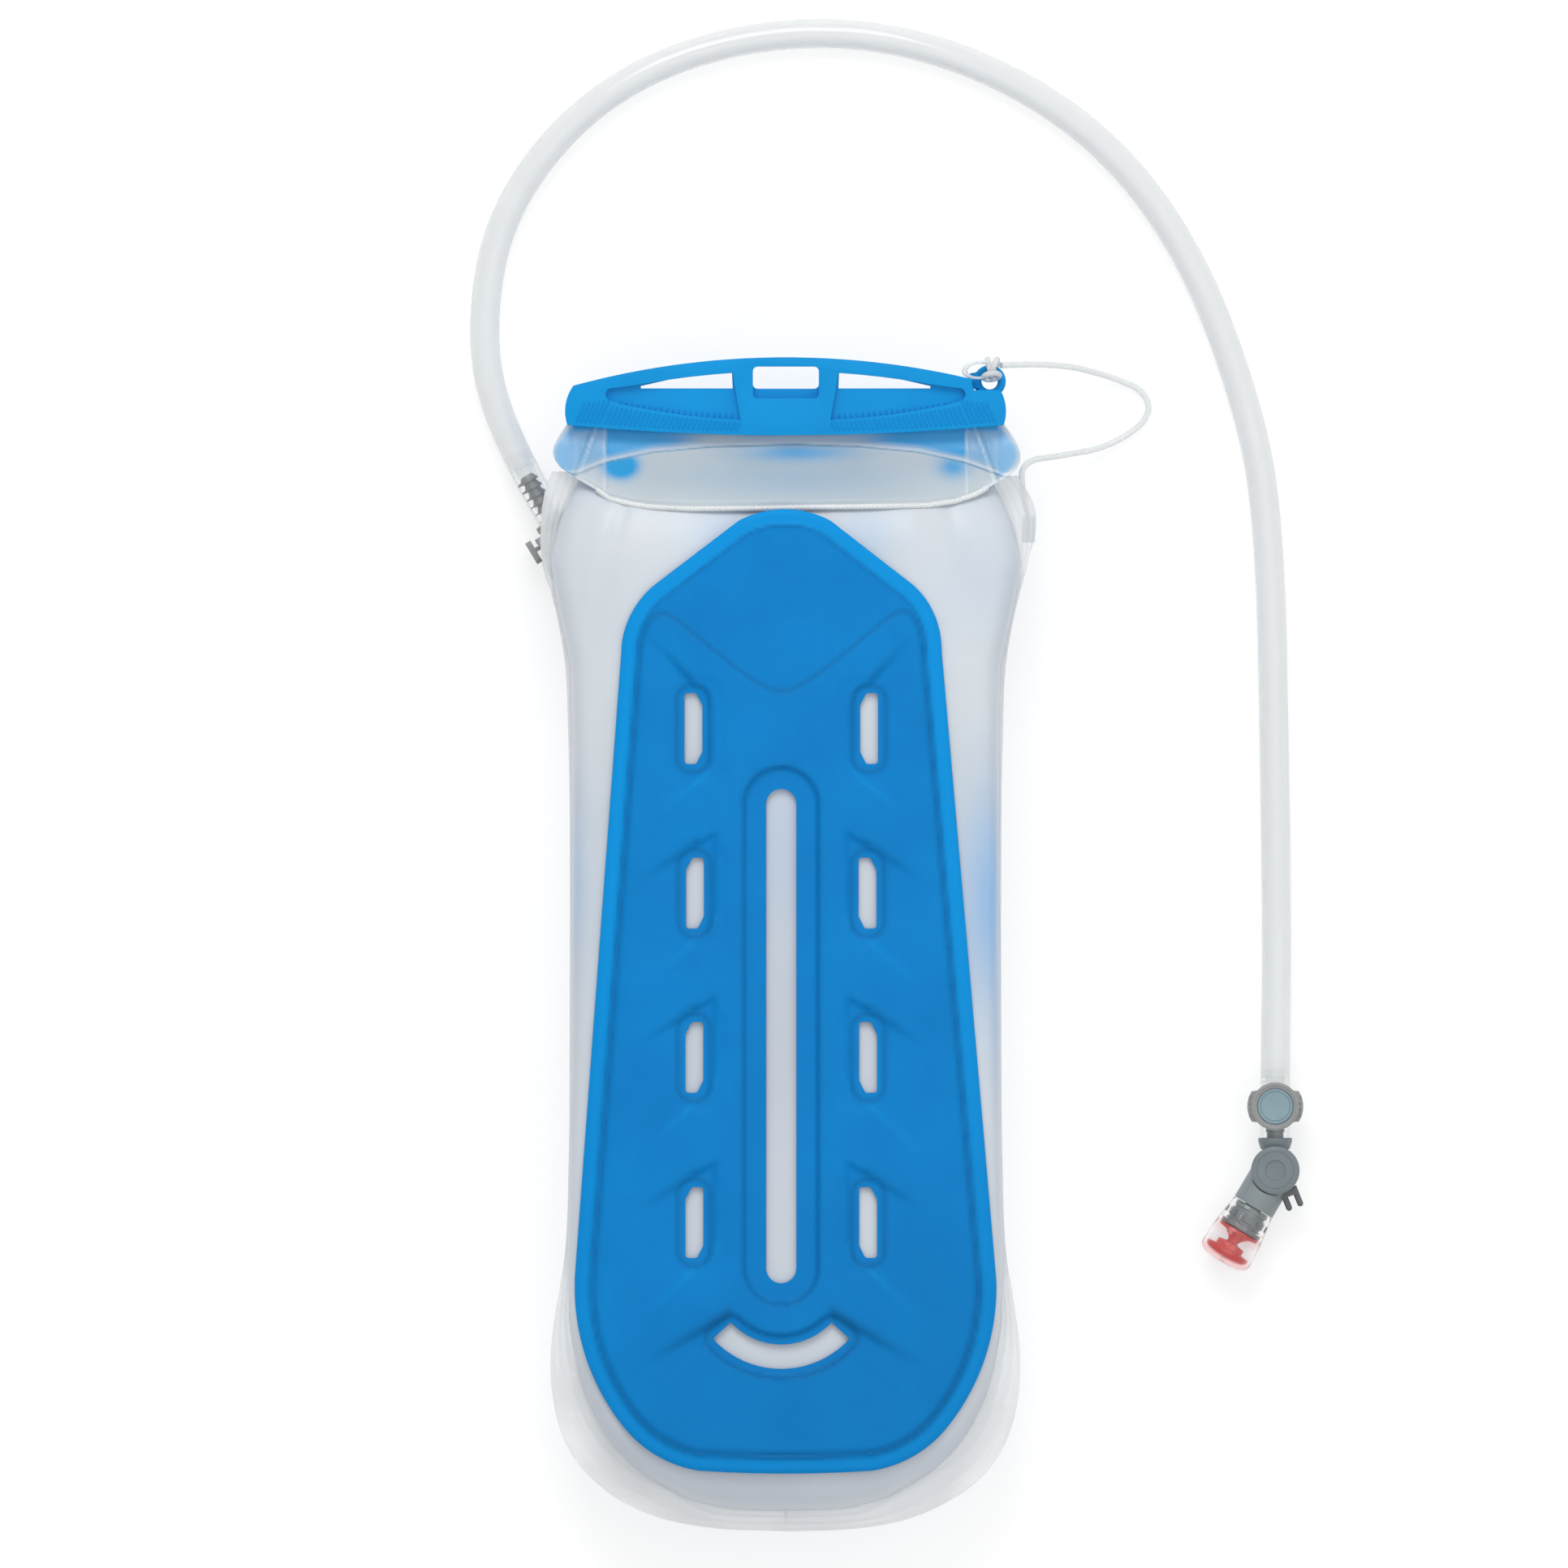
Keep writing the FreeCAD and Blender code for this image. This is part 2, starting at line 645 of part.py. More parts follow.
def make_poppet():
    tip = -collar_wall - nose_length - 0.1
    seal_front = socket_floor - poppet_travel - 0.1
    disc_front = seal_front - 0.6
    disc_back = disc_front - poppet_wall
    radius = chamber_radius - 0.3
    poppet = fuse([rod((disc_back, 0, 0), (1, 0, 0), radius, poppet_wall),
                   rod((disc_front, 0, 0), (1, 0, 0), 1.6, tip - disc_front)])
    seal = rod((disc_front, 0, 0), (1, 0, 0), radius, seal_front - disc_front)
    seal = seal.cut(rod((disc_front - 1, 0, 0), (1, 0, 0), nose_radius - 1.2, 4))
    spring = coil((chamber_floor + 0.3, 0, 0), True, poppet_spring_radius,
                  disc_back - chamber_floor - 0.7)
    return at_port(poppet), at_port(seal), at_port(spring)


def make_tube():
    heading = math.radians(plug_heading)
    start = (plug_x + 0.02 * math.cos(heading), plug_y + 0.02 * math.sin(heading), plug_z)
    route = [start] + tube_route + [(valve_x, tube_end_y, valve_z)]
    path, radii = round_path(route)
    outer = pipe(path, tube_radius)
    tube = outer.cut(pipe(path, tube_bore))
    section = math.pi * (tube_radius ** 2 - tube_bore ** 2)
    print("tube length", round(path.Length, 1), "radii", [round(r) for r in radii])
    print("tube volume over section x length", round(tube.Volume / (section * path.Length), 4))
    return tube


def make_clip():
    sleeve = rod((0, -clip_sleeve_half, 0), (0, 1, 0), clip_sleeve, 2 * clip_sleeve_half)
    ear = rod((0, 0, 2.0), (0, 0, 1), clip_ear, 3.4)
    ear = ear.common(box(-20, 20, -clip_ear_half, clip_ear_half, -20, 20))
    ring = rod((0, 0, 4.6), (0, 0, 1), clip_ring, clip_top - 4.6)
    cup = rod((0, 0, clip_top - disc_wall - magnet_wall), (0, 0, 1), cup_radius, 10)
    bore = rod((0, -20, 0), (0, 1, 0), tube_radius + clip_clear, 40)
    clip = fuse([sleeve, ear, ring]).cut(bore).cut(cup)
    magnet = rod((0, 0, clip_top - disc_wall - magnet_wall), (0, 0, 1), cup_radius - 0.1, magnet_wall)
    disc = rod((0, 0, clip_top - disc_wall), (0, 0, 1), cup_radius - 0.1, disc_wall + 0.2)
    return [moved(shape, (valve_x, clip_y, valve_z), 0) for shape in (clip, magnet, disc)]


def make_valve_body():
    inlet = tube_end_y - valve_y
    stem = revolve_x([(inlet - 1, 0), (inlet - 1, barb_root), (inlet + 2, barb_root),
                      (inlet + 2, barb_rim), (inlet + 5, barb_root), (inlet + 6, barb_root),
                      (inlet + 6, barb_rim), (inlet + 9, barb_root), (inlet + 9, 0)])
    wide = tube_radius + 0.75
    collar = revolve_x([(3.0, 0), (3.0, neck_radius), (neck_length, neck_radius),
                        (neck_length + 0.4, tube_radius), (inlet - 1.2, wide), (inlet - 0.05, wide),
                        (inlet - 0.05, 0)])
    neck = fuse([stem, collar])
    neck.rotate(V(0, 0, 0), V(0, 0, 1), 90)
    hub = rod((0, 0, hub_low), (0, 0, 1), hub_radius, -hub_low - joint_gap / 2)
    clear = rod((0, 0, -joint_gap / 2), (0, 0, 1), arm_hub_radius + 0.4, 20)
    seal_z = -joint_gap / 2 - pivot_seal_section
    groove_floor = seal_z - pivot_seal_section - 0.02
    groove_half = pivot_seal_section + 0.05
    groove = rod((0, 0, groove_floor), (0, 0, 1), pivot_seal_radius + groove_half, 5)
    groove = groove.cut(rod((0, 0, groove_floor), (0, 0, 1), pivot_seal_radius - groove_half, 5))
    under_cap = rod((0, 0, arm_hub_top), (0, 0, 1), cap_radius + cap_clear, 20)
    body = fuse([neck, hub]).cut(clear).cut(under_cap).cut(groove)
    body = body.cut(rod((0, 2.2, -3), (0, 1, 0), plug_bore, 30))
    body = body.cut(rod((0, riser_y, -4.6), (0, 0, 1), riser_radius, 10))
    body = body.cut(rod((0, 0, pin_foot_z), (0, 0, 1), pin_radius, 20))
    seal = Part.makeTorus(pivot_seal_radius, pivot_seal_section, V(0, 0, seal_z))
    return at_valve(body), at_valve(seal)


def make_cap_and_pin():
    z = arm_hub_top + 0.2
    cap = rod((0, 0, z), (0, 0, 1), cap_radius, cap_wall)
    rim = [e for e in cap.Edges if abs(e.BoundBox.ZMin - z - cap_wall) < 0.01 and e.Length > 20]
    cap = cap.makeFillet(0.8, rim).cut(rod((0, 0, z - 1), (0, 0, 1), pin_radius, 2.0))
    pin = rod((0, 0, pin_foot_z + 0.1), (0, 0, 1), pin_radius, z + 0.85 - pin_foot_z)
    return at_valve(cap), at_valve(pin)


def make_arm():
    hub = rod((0, 0, joint_gap / 2), (0, 0, 1), arm_hub_radius, arm_hub_top - joint_gap / 2)
    outlet = rod((2, 0, 0), (1, 0, 0), arm_radius, arm_length - 2)
    outlet = outlet.cut(rod((0, 0, -20), (0, 0, 1), hub_radius + 0.4, 20 + joint_gap / 2))
    outlet = outlet.cut(rod((0, 0, arm_hub_top), (0, 0, 1), cap_radius + cap_clear, 20))
    arm = fuse([hub, outlet])
    arm = arm.cut(rod((3.0, 0, 2.6), (1, 0, 0), 1.6, 7))
    arm = arm.cut(rod((8.0, 0, 0), (1, 0, 0), flow_bore, arm_length))
    arm = arm.cut(rod((0, 0, -5), (0, 0, 1), pin_radius + pin_clear, 20))
    return at_valve(arm, arm_heading())


def arm_heading():
    return -90.0 - arm_angle


def make_lever():
    """Two-pronged thumb lever on the arm's hub."""
    z = lever_height
    half = lever_half
    start = arm_hub_radius - 0.3
    low, high = lever_prongs
    root = box(start, start + 2.6, low - half, high + half, z - half, z + half)
    prongs = [rod((start + 2.0, y, z), (1, 0, 0), half, lever_reach) for y in lever_prongs]
    tips = [Part.makeSphere(half, V(start + 2.0 + lever_reach, y, z)) for y in lever_prongs]
    lever = fuse([root] + prongs + tips).cut(rod((0, 0, 0), (0, 0, 1), arm_hub_radius, 10))
    arm_side = at_valve(rod((0, 0, 0), (1, 0, 0), arm_radius, arm_length), arm_heading())
    return at_valve(lever, lever_heading).cut(arm_side)


def make_bite_tip():
    x0 = arm_length + 0.2
    x1 = x0 + nipple_length
    x2 = arm_length + sheath_length
    nipple = revolve_x([(8.5, 0), (8.5, flow_bore - spigot_clear), (x0, flow_bore - spigot_clear),
                        (x0, 5.6), (x1 - 1.4, nipple_radius), (x1 - 1.4, nipple_radius + 0.9),
                        (x1, nipple_radius + 0.9), (x1, 0)])
    nipple = nipple.cut(rod((0, 0, 0), (1, 0, 0), 1.9, x2))
    wall = sheath_wall
    sheath = revolve_x([(x0, 5.8), (x0, sheath_start), (x1, sheath_mid), (x2 - 3.2, sheath_end),
                        (x2 - 1.2, sheath_end - 0.5), (x2 - 0.3, sheath_end - 3.0), (x2, 0),
                        (x2 - wall, 0), (x2 - wall - 0.3, sheath_end - 3.4),
                        (x2 - wall - 2.0, sheath_end - wall), (x1, sheath_mid - wall),
                        (x1 - 1.6, sheath_mid - wall), (x1 - 1.6, nipple_radius + 0.05)])
    end = x2 - wall - core_gap - 0.4
    core = revolve_x([(x1 + core_gap, 0), (x1 + core_gap, sheath_mid - wall - core_gap),
                      (x1 + 1.5, sheath_mid - wall - core_gap), (x1 + 1.9, 3.2), (x1 + 5.4, 1.7),
                      (end - 3.6, 2.2), (end - 3.4, 4.6), (end - 1.8, 4.9),
                      (end - 1.8, sheath_end - wall - core_gap - 1.5),
                      (end, sheath_end - wall - core_gap - 3.0), (end, 0)])
    return [at_valve(shape, arm_heading()) for shape in (nipple, sheath, core)]


def make_tether():
    path, radii = round_path(tether_route)
    cord = pipe(path, tether_radius)
    section = math.pi * tether_radius ** 2
    print("tether length", round(path.Length, 1), "radii", [round(r, 1) for r in radii])
    print("tether volume over section x length", round(cord.Volume / (section * path.Length), 4))
    x, y, z = tether_route[0]
    tab = box(x - tab_width / 2, x + tab_width / 2, y - tab_length, y - 0.02,
              seam_z - film - tab_wall, seam_z - film)
    holder = box(x - 1.6, x + 1.6, y - 3.5, y - 0.02, z - 1.5, seam_z - film)
    knot = Part.makeTorus(eyelet_hole + 0.9, tether_radius,
                          V(eyelet_x, eyelet_y + (eyelet_outer + eyelet_hole) / 2, seam_z), V(1, 0, 0))
    return cord, fuse([tab, holder]), knot


def main():
    os.makedirs("parts", exist_ok=True)
    nodes = {}
    nodes["bag_front_panel"], nodes["bag_back_panel"] = make_bag()
    nodes["baffle_web"] = make_baffle()
    nodes["back_plate"] = make_plate()
    nodes["slide_closure"] = make_slider()
    nodes["mouth_fold"] = make_fold()
    nodes["hose_plug"], nodes["plug_o_ring"] = make_plug()
    nodes["port_housing"], nodes["port_base"] = make_port()
    nodes["release_button"], nodes["button_spring"] = make_button()
    nodes["shutoff_poppet"], nodes["poppet_seal"], nodes["poppet_spring"] = make_poppet()
    nodes["drink_tube"] = make_tube()
    nodes["clip_body"], nodes["clip_magnet"], nodes["clip_disc"] = make_clip()
    nodes["valve_body"], nodes["pivot_o_ring"] = make_valve_body()
    nodes["pivot_cap"], nodes["pivot_pin"] = make_cap_and_pin()
    nodes["valve_arm"] = make_arm()
    nodes["thumb_lever"] = make_lever()
    nodes["bite_nipple"], nodes["bite_sheath"], nodes["bite_core"] = make_bite_tip()
    nodes["slider_tether"], nodes["tether_tab"], nodes["tether_knot"] = make_tether()
    for name, shape in nodes.items():
        box_size = shape.optimalBoundingBox(False, False)
        print(name, "solids", len(shape.Solids), "valid", shape.isValid(), "volume", round(shape.Volume),
              "box", [round(v, 1) for v in (box_size.XMin, box_size.XMax, box_size.YMin,
                                            box_size.YMax, box_size.ZMin, box_size.ZMax)])
        shape.exportStep("parts/" + name + ".step")


main()
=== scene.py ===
import math

import bmesh
import bpy
import numpy as np
from mathutils import Matrix, Vector, noise


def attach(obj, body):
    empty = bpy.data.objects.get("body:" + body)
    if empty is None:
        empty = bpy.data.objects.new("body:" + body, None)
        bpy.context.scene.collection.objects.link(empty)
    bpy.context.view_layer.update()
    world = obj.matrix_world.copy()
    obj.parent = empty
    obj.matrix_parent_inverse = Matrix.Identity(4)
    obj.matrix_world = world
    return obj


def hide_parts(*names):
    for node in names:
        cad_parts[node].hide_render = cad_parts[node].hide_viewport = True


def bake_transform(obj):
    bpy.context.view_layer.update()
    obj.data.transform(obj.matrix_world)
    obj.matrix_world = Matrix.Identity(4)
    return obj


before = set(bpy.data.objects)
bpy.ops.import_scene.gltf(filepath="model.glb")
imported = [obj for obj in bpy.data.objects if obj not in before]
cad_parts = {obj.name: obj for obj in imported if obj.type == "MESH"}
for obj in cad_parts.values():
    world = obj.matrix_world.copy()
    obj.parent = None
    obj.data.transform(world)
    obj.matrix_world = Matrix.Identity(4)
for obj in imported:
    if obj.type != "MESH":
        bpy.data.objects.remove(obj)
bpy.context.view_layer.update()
mm = 0.001
print("frame loaded")


# selecting and finishing

def onlyActive(piece):
    if bpy.context.mode != "OBJECT":
        bpy.ops.object.mode_set(mode="OBJECT")
    bpy.ops.object.select_all(action="DESELECT")
    piece.select_set(True)
    bpy.context.view_layer.objects.active = piece


def named(name):
    piece = bpy.context.active_object
    piece.name = name
    piece.data.name = name
    return piece


def applyAll(piece):
    onlyActive(piece)
    for modifier in list(piece.modifiers):
        bpy.ops.object.modifier_apply(modifier=modifier.name)


def placeInMesh(piece):
    onlyActive(piece)
    bpy.ops.object.transform_apply(location=True, rotation=True, scale=True)


def placeAt(piece, point, heading=0.0, alongX=False):
    # alongX lays a piece built along Z onto X before it is turned to its heading
    lay = Matrix.Rotation(math.radians(90), 4, "Y") if alongX else Matrix.Identity(4)
    turn = Matrix.Rotation(math.radians(heading), 4, "Z")
    piece.matrix_world = Matrix.Translation(Vector(point) * mm) @ turn @ lay @ piece.matrix_world
    placeInMesh(piece)
    return piece


def smooth(piece, angle=35):
    onlyActive(piece)
    bpy.ops.object.shade_smooth_by_angle(angle=math.radians(angle))


def editAll(piece, *jobs):
    # each job works on the whole mesh
    onlyActive(piece)
    bpy.ops.object.mode_set(mode="EDIT")
    for job in jobs:
        bpy.ops.mesh.select_all(action="SELECT")
        job()
    bpy.ops.object.mode_set(mode="OBJECT")


def mergeDoubles():
    bpy.ops.mesh.remove_doubles(threshold=0.004 * mm)


def faceOutward():
    bpy.ops.mesh.normals_make_consistent(inside=False)


def dissolveFlat():
    bpy.ops.mesh.dissolve_limited(angle_limit=math.radians(1.0))


def raiseFaces(height):
    bpy.ops.mesh.extrude_region_move(TRANSFORM_OT_translate={"value": (0, 0, height * mm)})


def tidyMesh(piece):
    editAll(piece, mergeDoubles, faceOutward)


def addWall(piece, thickness, offset=0):
    wall = piece.modifiers.new("wall", "SOLIDIFY")
    wall.thickness = thickness * mm
    wall.offset = offset
    applyAll(piece)


def bevelEdges(piece, width, segments=2, angle=30):
    bevel = piece.modifiers.new("edges", "BEVEL")
    bevel.width = width * mm
    bevel.segments = segments
    bevel.limit_method = "ANGLE"
    bevel.angle_limit = math.radians(angle)
    bevel.use_clamp_overlap = True
    applyAll(piece)


def cutWith(piece, cutter, operation="DIFFERENCE"):
    cut = piece.modifiers.new("cut", "BOOLEAN")
    cut.operation = operation
    cut.object = cutter
    cut.solver = "EXACT"
    applyAll(piece)
    bpy.data.objects.remove(cutter)


def joined(pieces, name):
    bpy.ops.object.select_all(action="DESELECT")
    for piece in pieces:
        piece.select_set(True)
    bpy.context.view_layer.objects.active = pieces[0]
    bpy.ops.object.join()
    return named(name)


def finishPiece(piece, body, slotName, material, *nodes):
    piece.data.materials.clear()
    piece.data.materials.append(material)
    if body:
        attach(piece, body)
    if nodes:
        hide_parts(*nodes)
    return piece


# shapes

def block(name, low, high):
    bpy.ops.mesh.primitive_cube_add(size=1, location=[(a + b) / 2 * mm for a, b in zip(low, high)])
    piece = named(name)
    piece.scale = [(b - a) * mm for a, b in zip(low, high)]
    placeInMesh(piece)
    return piece


def turned(name, profile, sides=64):
    # (radius, height) pairs from one end to the other, extruded ring by ring along Z
    radius, height = profile[0]
    bpy.ops.mesh.primitive_circle_add(vertices=sides, radius=radius * mm, fill_type="NGON",
                                      location=(0, 0, height * mm))
    piece = named(name)
    placeInMesh(piece)
    bpy.ops.object.mode_set(mode="EDIT")
    bpy.ops.mesh.select_all(action="SELECT")
    for nextRadius, nextHeight in profile[1:]:
        raiseFaces(nextHeight - height)
        share = nextRadius / radius
        bpy.ops.transform.resize(value=(share, share, 1), center_override=(0, 0, nextHeight * mm))
        radius, height = nextRadius, nextHeight
    bpy.ops.object.mode_set(mode="OBJECT")
    tidyMesh(piece)
    return piece


def drum(name, radius, low, high, sides=64):
    return turned(name, [(radius, low), (radius, high)], sides)


def fromNode(name, node):
    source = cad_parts[node]
    piece = bpy.data.objects.new(name, source.data.copy())
    bpy.context.scene.collection.objects.link(piece)
    piece.data.name = name
    piece.data.materials.clear()
    onlyActive(piece)
    if piece.data.has_custom_normals:
        bpy.ops.mesh.customdata_custom_splitnormals_clear()
    tidyMesh(piece)
    editAll(piece, dissolveFlat)
    return piece


def arcThrough(a, b, c, count):
    # points on the circle through three points, from a to c
    (ax, ay), (bx, by), (cx, cy) = a, b, c
    d = 2 * (ax * (by - cy) + bx * (cy - ay) + cx * (ay - by))
    ux = ((ax * ax + ay * ay) * (by - cy) + (bx * bx + by * by) * (cy - ay)
          + (cx * cx + cy * cy) * (ay - by)) / d
    uy = ((ax * ax + ay * ay) * (cx - bx) + (bx * bx + by * by) * (ax - cx)
          + (cx * cx + cy * cy) * (bx - ax)) / d
    radius = math.hypot(ax - ux, ay - uy)
    start = math.atan2(ay - uy, ax - ux)
    sweep = math.atan2(cy - uy, cx - ux) - start
    way = math.atan2(by - uy, bx - ux) - start
    sweep %= 2 * math.pi
    if way % (2 * math.pi) > sweep:
        sweep -= 2 * math.pi
    return [(ux + radius * math.cos(start + sweep * i / count),
             uy + radius * math.sin(start + sweep * i / count)) for i in range(count + 1)]


def newCurve(name, kind, loops, flat=False):
    line = bpy.data.curves.new(name, "CURVE")
    line.dimensions = "2D" if flat else "3D"
    for loop in loops:
        spline = line.splines.new(kind)
        spline.points.add(len(loop) - 1)
        for point, place in zip(spline.points, loop):
            point.co = (*[c * mm for c in place], 1.0)
        spline.use_cyclic_u = flat
    piece = bpy.data.objects.new(name, line)
    bpy.context.scene.collection.objects.link(piece)
    return piece


def curveToMesh(piece):
    name = piece.name
    onlyActive(piece)
    bpy.ops.object.convert(target="MESH")
    return named(name)


def flatShape(name, loops, height=0.0):
    # a flat face with holes: the first loop is the outline and the others are its openings
    piece = newCurve(name, "POLY", [[(x, y, 0) for x, y in loop] for loop in loops], flat=True)
    piece.data.fill_mode = "BOTH"
    piece = curveToMesh(piece)
    piece.location.z = height * mm
    placeInMesh(piece)
    editAll(piece, mergeDoubles)
    return piece


def slab(name, loops, low, high):
    piece = flatShape(name, loops, low)
    editAll(piece, dissolveFlat, lambda: raiseFaces(high - low))
    tidyMesh(piece)
    return piece


def sheetGrid(name, across, along, place):
    # a grid whose corners (0..1, 0..1) are put in place by a function that gives x, y and z in mm
    bpy.ops.mesh.primitive_grid_add(x_subdivisions=across, y_subdivisions=along, size=1)
    piece = named(name)
    co = meshPoints(piece)
    span = co.max(0) - co.min(0)
    u = (co[:, 0] - co[:, 0].min()) / span[0]
    v = (co[:, 1] - co[:, 1].min()) / span[1]
    movePoints(piece, np.stack(place(u, v), 1))
    if piece.data.polygons[0].normal.z < 0:
        piece.data.flip_normals()
    return piece


def torus(name, radius, thickness, sides, around, place, turn=(0, 0, 0), flat=1):
    bpy.ops.mesh.primitive_torus_add(
        major_radius=radius * mm, minor_radius=thickness * mm, major_segments=sides, minor_segments=around,
        location=[c * mm for c in place], rotation=[math.radians(a) for a in turn])
    piece = named(name)
    piece.scale = (1, flat, 1)
    placeInMesh(piece)
    return piece


def turnedAt(name, profile, sides, shade, place, heading=None):
    # with a heading the piece lies along it, and without one it stands
    piece = turned(name, profile, sides)
    placeAt(piece, place, heading or 0.0, alongX=heading is not None)
    smooth(piece, shade)
    return piece


def meshPoints(piece):
    # in mm
    co = np.zeros(len(piece.data.vertices) * 3)
    piece.data.vertices.foreach_get("co", co)
    return co.reshape(-1, 3) / mm


def movePoints(piece, co):
    piece.data.vertices.foreach_set("co", (co * mm).ravel())
    piece.data.update()


def paint(piece, name, values):
    # a value from 0 to 1 at each vertex, which the piece's material reads
    layer = piece.data.attributes.new(name, "FLOAT", "POINT")
    layer.data.foreach_set("value", np.clip(values, 0, 1).astype(np.float32))


def step(t):
    t = np.clip(t, 0, 1)
    return t * t * (3 - 2 * t)


def bell(distance, width):
    return np.exp(-(distance / width) ** 2)


def spot(x, y, cx, cy, rx, ry):
    return np.exp(-((x - cx) / rx) ** 2 - ((y - cy) / ry) ** 2)


def spots(x, y, table):
    return sum(weight * spot(x, y, *place) for weight, *place in table)


def along(table, value):
    # the second column of a table at a value of its first
    return np.interp(value, *np.array(table).T)


def waves(x, y, sizeX, sizeY, level):
    return np.array([noise.noise(Vector((a / sizeX, b / sizeY, level))) for a, b in zip(x, y)])


def distanceTo(points, loop):
    # shortest distance from each point to a closed polyline
    a = np.array(loop)
    b = np.roll(a, -1, 0)
    d = b - a
    length = (d * d).sum(1)
    keep = length > 1e-9
    a, d, length = a[keep], d[keep], length[keep]
    best = np.full(len(points), 1e9)
    for i in range(0, len(points), 4000):
        p = points[i:i + 4000, None, :] - a[None]
        t = np.clip((p * d).sum(2) / length, 0, 1)
        best[i:i + 4000] = np.sqrt((((p - t[:, :, None] * d) ** 2).sum(2)).min(1))
    return best


def grain(co, size, seed=0.0):
    # smooth noise at each point, about -1 to 1
    return np.array([noise.noise(Vector((x / size + seed, y / size, z / size))) for x, y, z in co])


# node groups and materials

def nodeGroup(name, inputs, outputs):
    group = bpy.data.node_groups.new(name, "ShaderNodeTree")
    for label, kind, value in inputs:
        socket = group.interface.new_socket(name=label, in_out="INPUT", socket_type=kind)
        if value is not None:
            socket.default_value = value
    for label, kind in outputs:
        group.interface.new_socket(name=label, in_out="OUTPUT", socket_type=kind)
    return group, group.nodes.new("NodeGroupInput"), group.nodes.new("NodeGroupOutput")


def mathNode(tree, operation, a, b=None, clamp=False):
    node = tree.nodes.new("ShaderNodeMath")
    node.operation = operation
    node.use_clamp = clamp
    for socket, value in zip(node.inputs, (a, b)):
        if value is None:
            continue
        if isinstance(value, (int, float)):
            socket.default_value = value
        else:
            tree.links.new(value, socket)
    return node.outputs[0]


def makeMouldGrain():
    # fine pitted grain of moulded plastic, with a soft mottle over it
    group, start, end = nodeGroup(
        "mouldGrain",
        [("Vector", "NodeSocketVector", None), ("Grain Size", "NodeSocketFloat", 2500.0),
         ("Mottle Size", "NodeSocketFloat", 60.0)],
        [("Mottle", "NodeSocketFloat"), ("Height", "NodeSocketFloat"), ("Speckle", "NodeSocketFloat")])
    fine = group.nodes.new("ShaderNodeTexNoise")
    fine.inputs["Detail"].default_value = 2.0
    broad = group.nodes.new("ShaderNodeTexNoise")
    broad.inputs["Detail"].default_value = 3.0
    pits = group.nodes.new("ShaderNodeTexVoronoi")
    for texture, size in ((fine, "Grain Size"), (broad, "Mottle Size"), (pits, "Grain Size")):
        group.links.new(start.outputs["Vector"], texture.inputs["Vector"])
        group.links.new(start.outputs[size], texture.inputs["Scale"])
    group.links.new(broad.outputs["Fac"], end.inputs["Mottle"])
    group.links.new(fine.outputs["Fac"], end.inputs["Speckle"])
    height = mathNode(group, "ADD", fine.outputs["Fac"], pits.outputs["Distance"])
    group.links.new(height, end.inputs["Height"])
    return group


def makeScuffs():
    # faint long scratches, drawn out along one direction
    group, start, end = nodeGroup(
        "fineScuffs",
        [("Vector", "NodeSocketVector", None), ("Amount", "NodeSocketFloat", 0.5)],
        [("Mask", "NodeSocketFloat")])
    stretch = group.nodes.new("ShaderNodeMapping")
    stretch.inputs["Rotation"].default_value = (0.0, 0.0, 0.5)
    stretch.inputs["Scale"].default_value = (900.0, 40.0, 400.0)
    lines = group.nodes.new("ShaderNodeTexNoise")
    lines.inputs["Scale"].default_value = 1.0
    lines.inputs["Detail"].default_value = 4.0
    group.links.new(start.outputs["Vector"], stretch.inputs["Vector"])
    group.links.new(stretch.outputs["Vector"], lines.inputs["Vector"])
    over = mathNode(group, "SUBTRACT", lines.outputs["Fac"], 0.62, clamp=True)
    mask = mathNode(group, "MULTIPLY", over, start.outputs["Amount"])
    group.links.new(mathNode(group, "MULTIPLY", mask, 6.0, clamp=True), end.inputs["Mask"])
    return group


mouldGrain = makeMouldGrain()
fineScuffs = makeScuffs()


def plainMaterial(name, settings):
    material = bpy.data.materials.new(name)
    material.use_nodes = True
    tree = material.node_tree
    shader = tree.nodes["Principled BSDF"]
    for socket, value in settings.items():
        shader.inputs[socket].default_value = value
    where = tree.nodes.new("ShaderNodeTexCoord")
    return material, tree, shader, where.outputs["Object"]


def ramp(tree, factor, stops):
    node = tree.nodes.new("ShaderNodeValToRGB")
    elements = node.color_ramp.elements
    while len(elements) < len(stops):
        elements.new(0.5)
    for element, (place, colour) in zip(elements, stops):
        element.position = place
        element.color = (*colour, 1.0)
    tree.links.new(factor, node.inputs["Fac"])
    return node.outputs["Color"]


def mixColour(tree, factor, a, b):
    node = tree.nodes.new("ShaderNodeMix")
    node.data_type = "RGBA"
    for socket, value in ((node.inputs["Factor"], factor), (node.inputs["A"], a), (node.inputs["B"], b)):
        if isinstance(value, (int, float)):
            socket.default_value = value
        elif isinstance(value, tuple):
            socket.default_value = (*value, 1.0)
        else:
            tree.links.new(value, socket)
    return node.outputs["Result"]


def painted(tree, name):
    node = tree.nodes.new("ShaderNodeAttribute")
    node.attribute_name = name
    return node.outputs["Fac"]


def overlay(material, attribute, colour, share=1.0):
    # a second colour over the material's own where the attribute is painted
    tree = material.node_tree
    base = tree.nodes["Principled BSDF"].inputs["Base Color"]
    factor = painted(tree, attribute)
    if share < 1:
        factor = mathNode(tree, "MULTIPLY", factor, share)
    tree.links.new(mixColour(tree, factor, base.links[0].from_socket, colour), base)


def bump(tree, shader, height, strength, distance):
    node = tree.nodes.new("ShaderNodeBump")
    node.inputs["Strength"].default_value = strength
    node.inputs["Distance"].default_value = distance * mm
    tree.links.new(height, node.inputs["Height"])
    tree.links.new(node.outputs["Normal"], shader.inputs["Normal"])


